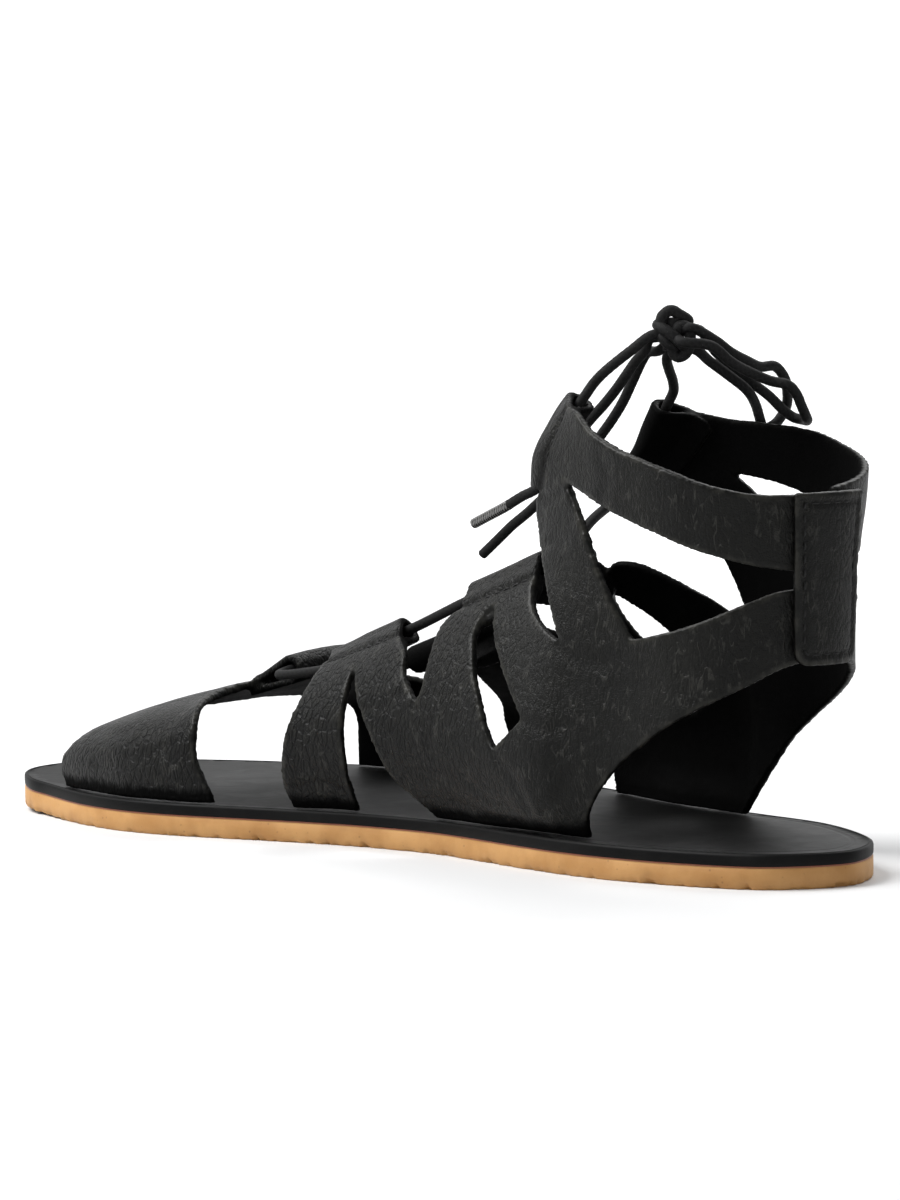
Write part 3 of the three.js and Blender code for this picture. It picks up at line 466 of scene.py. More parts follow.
def side_outlines(side):
    seam = (HEEL_START - HEEL_WRAP) * HALF_LENGTH + CLEARANCE / 2
    runs = [STRAP_FRONT[side], LOOP_ONE_REAR, LOOP_TWO_FRONT[side], LOOP_TWO_REAR[side]]
    runs += [ANKLE_STRAP_FRONT[side], CUFF_TOP[side], CUFF_BOTTOM[side], ANKLE_STRAP_REAR[side]]
    runs += [HEEL_BAND_TOP[side], HEEL_BAND_BOTTOM[side], LEG_FRONT, STRAP_REAR]
    placed = [[(max(u, seam), z) for u, z in on_side(run, side)] for run in runs]
    window = [on_side(run[side], side) for run in (WINDOW_FRONT, WINDOW_FOOT, WINDOW_REAR)]
    return [join_runs(placed), join_runs(window)]


print("outline of the inner side:", len(side_outlines(MEDIAL)[0]), "points")

# %% [markdown]
# A strap is a thin sheet. Its flat outline is filled with fine triangles, each corner is laid on
# the foot's surface twice, a leather's thickness apart, and a rim closes the two faces.
# %% A sheet of leather
def inside(points, loops):
    odd = np.zeros(len(points), bool)
    x, y = points[:, 0], points[:, 1]
    for loop in loops:
        for (x0, y0), (x1, y1) in zip(loop, np.roll(loop, -1, axis=0)):
            if y0 != y1:
                odd ^= ((y0 > y) != (y1 > y)) & (x < (x1 - x0) * (y - y0) / (y1 - y0) + x0)
    return odd


def near_loops(points, loops):
    tree = KDTree(sum(len(loop) for loop in loops))
    for i, (x, y) in enumerate(np.vstack(loops)):
        tree.insert((x, y, 0), i)
    tree.balance()
    return np.array([tree.find((x, y, 0))[2] for x, y in points])


def fill(loops, step):
    low, high = loops[0].min(axis=0), loops[0].max(axis=0)
    columns = np.arange(low[0], high[0], step)
    rows = np.arange(low[1], high[1], step * 0.866)
    grid = np.array([(x + (k % 2) * step / 2, y) for k, y in enumerate(rows) for x in columns])
    grid = grid[inside(grid, loops)]
    grid = grid[near_loops(grid, loops) > 0.6 * step]
    corners, edges, first = [], [], 0
    for loop in loops:
        corners += [tuple(p) for p in loop]
        edges += [(first + i, first + (i + 1) % len(loop)) for i in range(len(loop))]
        first += len(loop)
    corners += [tuple(p) for p in grid]
    spots, _, faces, *_ = delaunay_2d_cdt([Vector(p) for p in corners], edges, [], 0, 1e-5)
    spots = np.array([tuple(p) for p in spots])
    faces = np.array(faces)
    return spots, faces[inside(spots[faces].mean(axis=1), loops)]


def close_sheet(outer, inner, faces):
    count = len(outer)
    sides = {}
    for a, b, c in faces:
        for edge in ((a, b), (b, c), (c, a)):
            sides[edge] = True
    rim = [(a, b) for a, b in sides if (b, a) not in sides]
    solid = [tuple(f) for f in faces] + [(c + count, b + count, a + count) for a, b, c in faces]
    solid += [(b, a, a + count, b + count) for a, b in rim]
    return np.vstack([outer, inner]), solid


def leather_sheet(loops, spot, step=1.4):
    spots, faces = fill(loops, step)
    pairs = [spot(u, v) for u, v in spots]
    outer = np.array([tuple(p) for p, _ in pairs])
    inner = outer + LEATHER * np.array([tuple(n) for _, n in pairs])
    return close_sheet(outer, inner, faces)


# %% [markdown]
# Over each stretch of lace the leather is turned in and stitched to itself. The turn is a row of
# sections with a round tunnel, and the same frame tells where the lace and the stitches run.
# %% Lace loops
LOOP_FLAP, LEAST_FLAP, TOE_FLAP, FLAP_CORNER, FLAP_RISE = 7, 1.5, 2, 5, 2
LOOP_BULGE, LOOP_SEAT, TUNNEL_FOOT, TUNNEL_TURN, TUNNEL_LEAD = 0.7, 0.06, 0.8, 0.25, 4.5
LOOP_SECTIONS, LOOP_ARC = 26, 14


def side_loop(side, rows):
    return {
        "rows": rows, "flap": LOOP_FLAP, "scale": (HALF_LENGTH, UPPER_HEIGHT), "rise": FOOT_LINE,
        "spot": lambda u, z: side_spot(side, u, z),
    }


TOE_LOOP_PLACE = {
    "rows": TOE_LOOP, "flap": TOE_FLAP, "scale": (HALF_LENGTH, TOE_ARC), "rise": 0, "spot": toe_spot,
}


def loop_frame(loop, way):
    def spot_at(column):
        values = [along(loop["rows"], way, column + k) * loop["scale"][k] for k in (0, 1)]
        return Vector((values[0], values[1] + loop["rise"]))

    fold, stitch = spot_at(1), spot_at(3)

    def on(share, depth):
        place, inward = loop["spot"](*fold.lerp(stitch, share))
        return place + inward * depth

    top = on(0, 0)
    up = top - on(1, 0)
    length = up.length
    up.normalize()
    inward = on(0.6, LEATHER) - on(0.6, 0)
    inward = (inward - up * inward.dot(up)).normalized()
    radius = LACE / 2 + TUNNEL_ROOM + LEATHER
    centre = top - up * radius + inward * (radius - LOOP_BULGE)
    return {"on": on, "up": up, "length": length, "inward": inward, "radius": radius, "centre": centre}


def loop_solid(loop):
    rings, hollows = [], []
    span = (loop_frame(loop, 0)["centre"] - loop_frame(loop, 1)["centre"]).length
    for i in range(LOOP_SECTIONS + 1):
        way = i / LOOP_SECTIONS
        f = loop_frame(loop, way)
        on, up, inward, centre = f["on"], f["up"], f["inward"], f["centre"]
        bend = max(0, FLAP_CORNER - min(way, 1 - way) * span)
        corner = math.sqrt(FLAP_CORNER**2 - bend**2)
        end = 1 + max(LEAST_FLAP, loop["flap"] - FLAP_CORNER + corner) / f["length"]

        def arc(r, start, stop):
            angles = [mix(start, stop, k / LOOP_ARC) for k in range(LOOP_ARC + 1)]
            return [centre + up * (r * math.cos(a)) + inward * (r * math.sin(a)) for a in angles]

        ring = [on(1 + FLAP_RISE / f["length"], LEATHER / 3), on(1, LOOP_SEAT)]
        ring += arc(f["radius"], -math.pi / 2, math.pi / 2)
        ring += [on(1, 2 * LEATHER), on(end, 2 * LEATHER), on(end, LEATHER / 2)]
        tangent = math.pi / 2 + TUNNEL_TURN
        hollow = [on(1 - TUNNEL_FOOT / f["length"], LEATHER)]
        hollow += arc(f["radius"] - LEATHER, -tangent, tangent)
        rings.append(ring)
        hollows.append(hollow)
    points, faces = [], []
    sizes = len(rings[0]), len(hollows[0])
    stride = sum(sizes)
    for ring, hollow in zip(rings, hollows):
        points += [tuple(p) for p in ring + hollow]
    for i in range(LOOP_SECTIONS):
        for first, size, turned in ((0, sizes[0], False), (sizes[0], sizes[1], True)):
            for k in range(size):
                a, b = i * stride + first + k, i * stride + first + (k + 1) % size
                quad = (a, b, b + stride, a + stride)
                faces.append(quad[::-1] if turned else quad)
    for section in (0, LOOP_SECTIONS):
        f = loop_frame(loop, section / LOOP_SECTIONS)
        flat = [
            np.array([((p - f["centre"]).dot(f["up"]), (p - f["centre"]).dot(f["inward"])) for p in part])
            for part in (rings[section], hollows[section])
        ]
        edges, first = [], 0
        for part in flat:
            edges += [(first + i, first + (i + 1) % len(part)) for i in range(len(part))]
            first += len(part)
        corners = [Vector(p) for p in np.vstack(flat)]
        spots, _, cap, origin, *_ = delaunay_2d_cdt(corners, edges, [], 0, 1e-7)
        spots = np.array([tuple(p) for p in spots])
        for face in cap:
            if inside(spots[list(face)].mean(axis=0)[None], flat)[0]:
                faces.append(tuple(section * stride + origin[k][0] for k in face))
    return np.array(points), faces


# %% [markdown]
# The sheets and loops of one piece overlap, so a voxel remesh makes one skin of them, and a few
# rounds of smoothing take the steps out and round the cut edges. What remeshing would erase,
# such as stitch lines and creases, is pressed in afterwards by moving the corners.
# %% One skin and its relief
VOXEL = 0.5
SMOOTH_ROUNDS = 7


def new_object(name, points, faces, scale=MM):
    mesh = bpy.data.meshes.new(name)
    mesh.from_pydata([tuple(np.asarray(p) * scale) for p in points], [], [tuple(map(int, f)) for f in faces])
    mesh.update()
    piece = bpy.data.objects.new(name, mesh)
    bpy.context.scene.collection.objects.link(piece)
    return piece


def joined(parts):
    points, faces, first = [], [], 0
    for part_points, part_faces in parts:
        points.append(np.asarray(part_points, float))
        faces += [tuple(first + k for k in face) for face in part_faces]
        first += len(part_points)
    return np.vstack(points), faces


def corners_of(piece):
    flat = np.empty(3 * len(piece.data.vertices))
    piece.data.vertices.foreach_get("co", flat)
    return flat.reshape(-1, 3) / MM


def normals_of(piece):
    flat = np.empty(3 * len(piece.data.vertices), np.float32)
    piece.data.vertex_normals.foreach_get("vector", flat)
    return flat.reshape(-1, 3).astype(float)


def put_corners(piece, points):
    piece.data.vertices.foreach_set("co", (points * MM).ravel())
    piece.data.update()


def smooth_skin(piece, rounds=SMOOTH_ROUNDS):
    edges = np.empty(2 * len(piece.data.edges), np.int32)
    piece.data.edges.foreach_get("vertices", edges)
    a, b = edges.reshape(-1, 2).T
    points = corners_of(piece)
    count = np.bincount(np.r_[a, b], minlength=len(points))[:, None]
    for k in range(2 * rounds):
        total = np.column_stack([
            np.bincount(np.r_[a, b], weights=np.r_[points[b, i], points[a, i]], minlength=len(points))
            for i in range(3)
        ])
        points = points + (0.5 if k % 2 == 0 else -0.52) * (total / count - points)
    put_corners(piece, points)


def one_skin(name, parts, voxel=VOXEL):
    rough = new_object(name + "_rough", *joined(parts))
    skin = rough.modifiers.new("skin", "REMESH")
    skin.mode = "VOXEL"
    skin.voxel_size = voxel * MM
    depsgraph = bpy.context.evaluated_depsgraph_get()
    mesh = bpy.data.meshes.new_from_object(rough.evaluated_get(depsgraph))
    bpy.data.objects.remove(rough, do_unlink=True)
    mesh.name = name
    piece = bpy.data.objects.new(name, mesh)
    bpy.context.scene.collection.objects.link(piece)
    smooth_skin(piece)
    mesh.polygons.foreach_set("use_smooth", np.ones(len(mesh.polygons), bool))
    return piece


def tree_of(points):
    tree = KDTree(len(points))
    for i, p in enumerate(points):
        tree.insert(p, i)
    tree.balance()
    return tree


def nearest(points, targets):
    tree = tree_of(targets)
    found = [tree.find(p) for p in points]
    return np.array([f[1] for f in found]), np.array([f[2] for f in found])


def noise_on(points, size, seed=0):
    shift = Vector((seed * 7.3, seed * 3.1, seed * 5.7))
    return np.array([noise.noise(Vector(p) / size + shift) for p in points])


def set_number(piece, name, values):
    piece.data.attributes.new(name, "FLOAT", "POINT").data.foreach_set("value", values.astype(np.float32))


HEEL_AXIS, TOE_AXIS = -88, 40


def flesh_side(points, normals):
    """1 on faces that look at the foot, 0 on the outer ones"""
    middle = np.clip(points[:, 0], HEEL_AXIS, None)
    out = np.column_stack([points[:, 0] - middle, points[:, 1] - MIDDLE_LINE, np.zeros(len(points))])
    over_toes = points[:, 0] > TOE_AXIS
    out[over_toes, 2] = points[over_toes, 2]
    out[over_toes, 1] *= 0.35
    out /= np.linalg.norm(out, axis=1)[:, None]
    return np.clip(0.5 - 3 * (normals * out).sum(axis=1), 0, 1)


def relief(piece, rims, seams, creases, seed):
    """Presses seams and creases in and stores the distance to the cut edges"""
    points, normals = corners_of(piece), normals_of(piece)
    set_number(piece, "flesh", flesh_side(points, normals))
    lift = 0.2 * noise_on(points, 12, seed) + 0.04 * noise_on(points, 3.2, seed + 1)
    for places, outwards, ups in seams:
        index, distance = nearest(points, places)
        facing = np.clip((normals * outwards[index]).sum(axis=1), 0, 1)
        above = ((points - places[index]) * ups[index]).sum(axis=1)
        close = distance < 7
        lift -= 0.42 * np.exp(-((distance / 0.65) ** 2)) * facing
        lift += 0.28 * np.exp(-(((above - 2.1) / 1.5) ** 2)) * facing * close
    for places, depth, width in creases:
        _, distance = nearest(points, places)
        lift -= depth * np.exp(-((distance / width) ** 2))
        lift += 0.45 * depth * np.exp(-(((distance - 1.9 * width) / width) ** 2))
    index, distance = nearest(points, rims)
    set_number(piece, "from_edge", distance)
    ragged = np.clip(1 - distance / 1.2, 0, 1)
    lift += ragged * 0.16 * noise_on(points, 0.8, seed + 2)
    put_corners(piece, points + normals * lift[:, None])


def seam_of(loop, share=1.0):
    ways = np.linspace(0.02, 0.98, 60)
    frames = [loop_frame(loop, w) for w in ways]
    places = np.array([tuple(f["on"](share, 0)) for f in frames])
    outwards = np.array([tuple(-f["inward"]) for f in frames])
    return places, outwards, np.array([tuple(f["up"]) for f in frames])


def rims_of(loops, spot):
    rims = []
    for u, v in np.vstack(loops):
        place, inward = spot(u, v)
        rims += [tuple(place + inward * depth) for depth in (0, LEATHER / 2, LEATHER)]
    return np.array(rims)


def laid(rows, side):
    return np.array([tuple(side_spot(side, u, v)[0]) for u, v in line_through(on_side(rows, side), 0.7)])


# %% [markdown]
# Worn leather creases where it bends: at the roots of the straps, under the lace loops and low
# on the arch. Each crease is a short line in shares of the shoe, with a depth and a width.
# %% Side pieces
# Creases. Each: places as along and up, then depth and half width in millimetres
CREASES = {
    MEDIAL: [
        ([(-0.17, 0.262), (-0.2, 0.215), (-0.212, 0.16)], 0.3, 1.3),
        ([(-0.13, 0.3), (-0.095, 0.265), (-0.04, 0.25)], 0.22, 1.4),
        ([(-0.4, 0.165), (-0.44, 0.12), (-0.46, 0.06)], 0.3, 1.5),
        ([(-0.46, 0.26), (-0.5, 0.245), (-0.545, 0.25)], 0.22, 1.5),
        ([(-0.29, 0.12), (-0.34, 0.075), (-0.41, 0.055)], 0.28, 1.3),
        ([(-0.24, 0.05), (-0.33, 0.028), (-0.43, 0.022)], 0.3, 1.1),
        ([(-0.5, 0.06), (-0.53, 0.1), (-0.56, 0.15)], 0.2, 1.4),
        ([(0.14, 0.05), (0.09, 0.065), (0.035, 0.05)], 0.22, 1.2),
        ([(-0.515, 0.43), (-0.56, 0.4), (-0.61, 0.4)], 0.25, 1.6),
        ([(-0.42, 0.64), (-0.455, 0.66), (-0.5, 0.655)], 0.18, 1.3),
        ([(-0.405, 0.765), (-0.44, 0.755), (-0.475, 0.765)], 0.26, 1.2),
        ([(-0.6, 0.86), (-0.615, 0.81), (-0.6, 0.765)], 0.16, 1.8),
        ([(-0.79, 0.79), (-0.8, 0.74), (-0.79, 0.69)], 0.14, 2.0),
        ([(-0.76, 0.45), (-0.78, 0.38), (-0.8, 0.33)], 0.16, 1.8),
    ],
    LATERAL: [
        ([(-0.17, 0.262), (-0.2, 0.215), (-0.212, 0.16)], 0.3, 1.3),
        ([(-0.36, 0.19), (-0.4, 0.13), (-0.43, 0.07)], 0.28, 1.5),
        ([(-0.25, 0.06), (-0.34, 0.03), (-0.44, 0.022)], 0.3, 1.1),
        ([(0.14, 0.05), (0.09, 0.065), (0.04, 0.05)], 0.22, 1.2),
        ([(-0.55, 0.42), (-0.6, 0.4), (-0.65, 0.41)], 0.24, 1.5),
        ([(-0.4, 0.765), (-0.45, 0.755), (-0.5, 0.77)], 0.24, 1.2),
        ([(-0.66, 0.88), (-0.67, 0.83), (-0.66, 0.78)], 0.15, 1.9),
    ],
}


def side_piece(side, name):
    loops = side_outlines(side)
    spot = lambda u, v: side_spot(side, u, v)
    lace_loops = [side_loop(side, rows) for rows in LACE_LOOPS[side]]
    parts = [leather_sheet(loops, spot)] + [loop_solid(loop) for loop in lace_loops]
    piece = one_skin(name, parts)
    creases = [(laid(rows, side), depth, width) for rows, depth, width in CREASES[side]]
    ends = [tuple(loop_frame(loop, w)["centre"]) for loop in lace_loops for w in (0, 1)]
    rims = np.vstack([rims_of(loops, spot), np.array(ends)])
    relief(piece, rims, [seam_of(loop) for loop in lace_loops], creases, seed=2 + side)
    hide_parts("quarter_medial" if side == MEDIAL else "quarter_lateral")
    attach(piece, BODY)
    print(name, len(piece.data.polygons), "faces")
    return piece


leather_pieces = [side_piece(MEDIAL, "inner_quarter"), side_piece(LATERAL, "outer_quarter")]

# %% [markdown]
# The toe strap is cut and laid in the same way on its own arch, with one loop at its tab.
# %% Toe strap
TOE_CREASES = [
    ([(0.47, 0.47), (0.475, 0.5), (0.47, 0.53)], 0.25, 1.0),
    ([(0.66, 0.2), (0.6, 0.17), (0.54, 0.165)], 0.2, 1.8),
    ([(0.56, 0.33), (0.5, 0.36), (0.46, 0.4)], 0.2, 1.6),
    ([(0.4, 0.1), (0.5, 0.06), (0.62, 0.05)], 0.22, 1.3),
]


def toe_piece():
    runs = [TOE_FRONT, TOE_REAR_OUTER, TOE_REAR_INNER]
    loops = [join_runs([[(s * HALF_LENGTH, t * TOE_ARC) for s, t in run] for run in runs])]
    piece = one_skin("toe_band", [leather_sheet(loops, toe_spot), loop_solid(TOE_LOOP_PLACE)])
    creases = []
    for rows, depth, width in TOE_CREASES:
        line = line_through([(s * HALF_LENGTH, t * TOE_ARC) for s, t in rows], 0.7)
        creases.append((np.array([tuple(toe_spot(u, v)[0]) for u, v in line]), depth, width))
    relief(piece, rims_of(loops, toe_spot), [seam_of(TOE_LOOP_PLACE)], creases, seed=9)
    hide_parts("toe_strap")
    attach(piece, BODY)
    print("toe_band", len(piece.data.polygons), "faces")
    return piece


leather_pieces.append(toe_piece())

# %% [markdown]
# A strip of leather covers the back seam. It is sewn all round, a little in from its edge.
# %% Heel strip
STRIP_WIDTH, STRIP_LEAN, STRIP_CORNER, STRIP_LOW, STRIP_HIGH = 19.6, 1.7, 3.5, 0.4, 0.784
STRIP_SEAM_INSET = 2.3


def strip_spot(u, z):
    low, high = (FOOT_LINE + share * UPPER_HEIGHT for share in (STRIP_LOW, STRIP_HIGH))
    across = u + STRIP_LEAN * smooth(low, high, z)
    side = LATERAL if across < 0 else MEDIAL
    place, inward = side_spot(side, (HEEL_START - HEEL_WRAP) * HALF_LENGTH + abs(across), z)
    return place - inward * (LEATHER + CLEARANCE), inward


def strip_line(inset):
    low, high = (FOOT_LINE + share * UPPER_HEIGHT for share in (STRIP_LOW, STRIP_HIGH))
    half, corner = STRIP_WIDTH / 2, STRIP_CORNER
    low, high, half, r = low + inset, high - inset, half - inset, corner - inset
    turn = [math.pi * (1 + k / 12) for k in range(7)]
    left = [(-half + r + r * math.cos(a), low + r + r * math.sin(a)) for a in turn]
    runs = [[(-half, high), (-half, (low + high) / 2), (-half, low + r)], left,
            [(-half + r, low), (0, low), (half - r, low)], [(-x, y) for x, y in left[::-1]],
            [(half, low + r), (half, (low + high) / 2), (half, high)],
            [(half, high), (0, high), (-half, high)]]
    return join_runs(runs)


def strip_piece():
    loops = [strip_line(0)]
    piece = one_skin("heel_strip_leather", [leather_sheet(loops, strip_spot)])
    seam = [strip_spot(u, z) for u, z in strip_line(STRIP_SEAM_INSET)]
    places = np.array([tuple(p) for p, _ in seam])
    outwards = np.array([tuple(-n) for _, n in seam])
    relief(piece, rims_of(loops, strip_spot), [(places, outwards, outwards)], [], seed=14)
    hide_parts("heel_strip")
    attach(piece, BODY)
    return piece, places, outwards


heel_strip, strip_seam, strip_outwards = strip_piece()
leather_pieces.append(heel_strip)

# %% [markdown]
# Stitches are short thick threads that dive in at both ends. All of them are one joined mesh.
# %% Stitches
STITCH_PITCH, STITCH_LENGTH, THREAD = 2.9, 2.0, 0.26


def tube(line, radius, sides, start_normal=None):
    """Rings round a line; radius may be a number or one for each ring"""
    line = np.asarray(line, float)
    radius = np.broadcast_to(radius, len(line))
    tangent = np.gradient(line, axis=0)
    tangent /= np.linalg.norm(tangent, axis=1)[:, None]
    normal = np.array((0, 0, 1.0) if start_normal is None else start_normal)
    points = []
    for place, t, r in zip(line, tangent, radius):
        normal = normal - t * normal.dot(t)
        normal /= np.linalg.norm(normal)
        other = np.cross(t, normal)
        for k in range(sides):
            a = 2 * math.pi * k / sides
            points.append(place + r * (normal * math.cos(a) + other * math.sin(a)))
    rings = len(line)
    faces = [
        (i * sides + k, i * sides + (k + 1) % sides, (i + 1) * sides + (k + 1) % sides, (i + 1) * sides + k)
        for i in range(rings - 1) for k in range(sides)
    ]
    faces += [tuple(range(sides))[::-1], tuple(range((rings - 1) * sides, rings * sides))]
    return np.array(points), faces


def stitches_along(places, outwards, sunk=0.26):
    run = np.r_[0, np.cumsum(np.linalg.norm(np.diff(places, axis=0), axis=1))]
    parts = []
    for k in range(int((run[-1] - 0.6) / STITCH_PITCH)):
        start = 0.8 + k * STITCH_PITCH
        stops = start + np.linspace(0, STITCH_LENGTH, 7)
        centre = np.column_stack([np.interp(stops, run, places[:, i]) for i in range(3)])
        out = np.column_stack([np.interp(stops, run, outwards[:, i]) for i in range(3)])
        rise = np.sin(np.linspace(0, math.pi, 7)) ** 0.6 * 0.45 - 0.45 - sunk
        parts.append(tube(centre + out * rise[:, None], THREAD, 6, out[0]))
    return parts


every_loop = [side_loop(side, rows) for side in (MEDIAL, LATERAL) for rows in LACE_LOOPS[side]]
threads = []
for loop in every_loop + [TOE_LOOP_PLACE]:
    places, outwards, _ = seam_of(loop)
    threads += stitches_along(places, outwards)
threads += stitches_along(strip_seam, strip_outwards)
stitches = new_object("stitches", *joined(threads))
stitches.data.polygons.foreach_set("use_smooth", np.ones(len(stitches.data.polygons), bool))
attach(stitches, BODY)
print(len(threads), "stitches")

# %% [markdown]
# The sole is two flat layers with one outline. Each gets its own rim profile: the gum is cut a
# little unevenly at its lower edge, and the insole's edge is polished round.
# %% Sole layers
RIM_STEP = 1.0
sole_rows = [HEEL_TIP] + [(s, inner) for s, _, inner in SOLE_EDGE] + [TOE_TIP]
sole_rows += [(s, outer) for s, outer, _ in reversed(SOLE_EDGE)]
sole_outline = line_through([(s * HALF_LENGTH, w * HALF_WIDTH) for s, w in sole_rows], RIM_STEP, closed=True)
sole_tangent = np.roll(sole_outline, -1, axis=0) - np.roll(sole_outline, 1, axis=0)
sole_tangent /= np.linalg.norm(sole_tangent, axis=1)[:, None]
sole_inward = np.column_stack([-sole_tangent[:, 1], sole_tangent[:, 0]])
if inside(sole_outline[:1] + sole_inward[:1], [sole_outline])[0] == 0:
    sole_inward = -sole_inward


def toe_lift(x):
    past = max(0, (x / HALF_LENGTH - SPRING_START) / (1 - SPRING_START))
    return TOE_SPRING * past**2


def sole_layer(name, bottom, profile, cap_step, uneven=0.0):
    """profile holds inset and height of each ring, from the bottom face to the top face"""
    count = len(sole_outline)
    waves = np.array([noise.noise(Vector((x / 1.5, y / 1.5, 3))) for x, y in sole_outline])
    waves = np.clip(1.5 * waves + 0.15, 0, 1)
    points, faces = [], []
    for k, (inset, height) in enumerate(profile):
        wave = uneven * waves * max(0, 1 - height / 1.2)
        ring = sole_outline + sole_inward * (inset + np.abs(wave))[:, None]
        burrs = wave if height > 0 else 0 * wave
        points += [(x, y, bottom + height + burr + toe_lift(x)) for (x, y), burr in zip(ring, burrs)]
        if k:
            for i in range(count):
                a, b = (k - 1) * count + i, (k - 1) * count + (i + 1) % count
                faces.append((a, b, b + count, a + count))
    for k in (0, len(profile) - 1):
        inset, height = profile[k]
        wave = uneven * waves * max(0, 1 - height / 1.2)
        ring = sole_outline + sole_inward * (inset + np.abs(wave))[:, None]
        spots, cap = fill([ring], cap_step)
        first = len(points)
        points += [(x, y, bottom + height + toe_lift(x)) for x, y in spots]
        faces += [tuple(first + v for v in (face if k else face[::-1])) for face in cap]
    piece = new_object(name, points, faces)
    weld = piece.modifiers.new("weld", "WELD")
    weld.merge_threshold = 0.02 * MM
    mesh = bpy.data.meshes.new_from_object(piece.evaluated_get(bpy.context.evaluated_depsgraph_get()))
    piece.modifiers.clear()
    piece.data = mesh
    mesh.polygons.foreach_set("use_smooth", np.ones(len(mesh.polygons), bool))
    corners = corners_of(piece)
    set_number(piece, "from_rim", near_loops(corners[:, :2], [sole_outline]))
    return piece


gum_profile = [(0.6, 0), (0.25, 0.12), (0.08, 0.45), (0.05, 1.4), (0.05, GUM - 0.25), (0.25, GUM)]
outsole = sole_layer("gum_sole", 0, gum_profile, 6, uneven=0.9)
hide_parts("outsole")
insole_profile = [(0.3, 0), (0.05, 0.25), (0, 0.8), (0, INSOLE - 0.7), (0.12, INSOLE - 0.3), (0.4, INSOLE - 0.08), (0.8, INSOLE)]
insole = sole_layer("black_insole", GUM + CLEARANCE, insole_profile, 2)
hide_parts("insole")
glue = sole_layer("glue_line", GUM - 0.05, [(0.3, 0), (0.22, 0.2), (0.3, CLEARANCE + 0.1)], 8)
for piece in (outsole, insole, glue):
    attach(piece, BODY)
print("sole outline:", len(sole_outline), "points")


# %% [markdown]
# One lace starts at the toe loop, runs through two loops of each side, crosses and goes through
# the third loops up to the knot. The tube carries its braid as real relief.
# %% Lace through the tunnels
# Ways up to the knot, in millimetres
TO_KNOT = {
    MEDIAL: [
        (-60.5, 12, 108), (-65, 8.5, 112.5), (-68.5, 5, 116), (-70, 2.5, 116),
    ],
    LATERAL: [
        (-60.7, -8.9, 105.5), (-62.6, -5.9, 108), (-64.6, -3.2, 110.5), (-67.4, -2, 113.6),
    ],
}
KNOT = (-70.7, 1, 115.9)
CROSSING_LIFT = 1.2
LACE_STEP, LACE_SIDES = 0.36, 24
BRAID_PITCH, BRAID_STRANDS, BRAID_RELIEF = 1.6, 5, 0.022


def lace_route(side):
    one, two = (side_loop(side, rows) for rows in LACE_LOOPS[side][:2])
    three = side_loop(-side, LACE_LOOPS[-side][2])

    def centre(loop, way):
        return loop_frame(loop, way)["centre"]

    def past(loop, way, distance):
        end, before = centre(loop, way), centre(loop, 0.8 if way else 0.2)
        return end + (end - before).normalized() * distance

    def run(loop):
        leads = [past(loop, 0, TUNNEL_LEAD), past(loop, 0, TUNNEL_LEAD / 3)]
        middle = [centre(loop, way) for way in (0, 0.2, 0.4, 0.6, 0.8, 1)]
        return leads + middle + [past(loop, 1, TUNNEL_LEAD / 3), past(loop, 1, TUNNEL_LEAD)]

    toe_end = 0 if side == MEDIAL else 1
    crossing = past(two, 1, TUNNEL_LEAD).lerp(past(three, 0, TUNNEL_LEAD), 0.5)
    crossing.z += side * CROSSING_LIFT
    beyond = past(TOE_LOOP_PLACE, toe_end, TUNNEL_LEAD)
    beyond.x -= TUNNEL_LEAD / 3
    start = [centre(TOE_LOOP_PLACE, 0.5), centre(TOE_LOOP_PLACE, 0.75 if toe_end else 0.25)]
    start += [centre(TOE_LOOP_PLACE, toe_end), beyond]
    return [tuple(p) for p in start + run(one) + run(two) + [crossing] + run(three)] + TO_KNOT[-side]


def braided(name, line, radius=LACE / 2):
    """A round cord along a fine line, with two sets of strands that cross"""
    points, faces = tube(line, 1.0, LACE_SIDES)
    run = np.r_[0, np.cumsum(np.linalg.norm(np.diff(line, axis=0), axis=1))]
    turn = np.tile(np.arange(LACE_SIDES) / LACE_SIDES, len(line)) * 2 * math.pi * BRAID_STRANDS
    way = np.repeat(run, LACE_SIDES) * 2 * math.pi / BRAID_PITCH
    weave = np.maximum(np.sin(way + turn), np.sin(way - turn))
    centre = np.repeat(np.asarray(line), LACE_SIDES, axis=0)
    size = radius + BRAID_RELIEF * (weave - 0.6)
    piece = new_object(name, centre + (points - centre) * size[:, None], faces)
    piece.data.polygons.foreach_set("use_smooth", np.ones(len(piece.data.polygons), bool))
    set_number(piece, "weave", weave)
    return piece


lace_pieces = []
for side, name in ((MEDIAL, "lace_from_inner_side"), (LATERAL, "lace_from_outer_side")):
    route = lace_route(side)
    line = line_through(route + [KNOT], LACE_STEP)
    piece = braided(name, line)
    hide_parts("lace")
    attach(piece, BODY)
    lace_pieces.append(piece)
    print(name, round(run_length(line)), "mm")

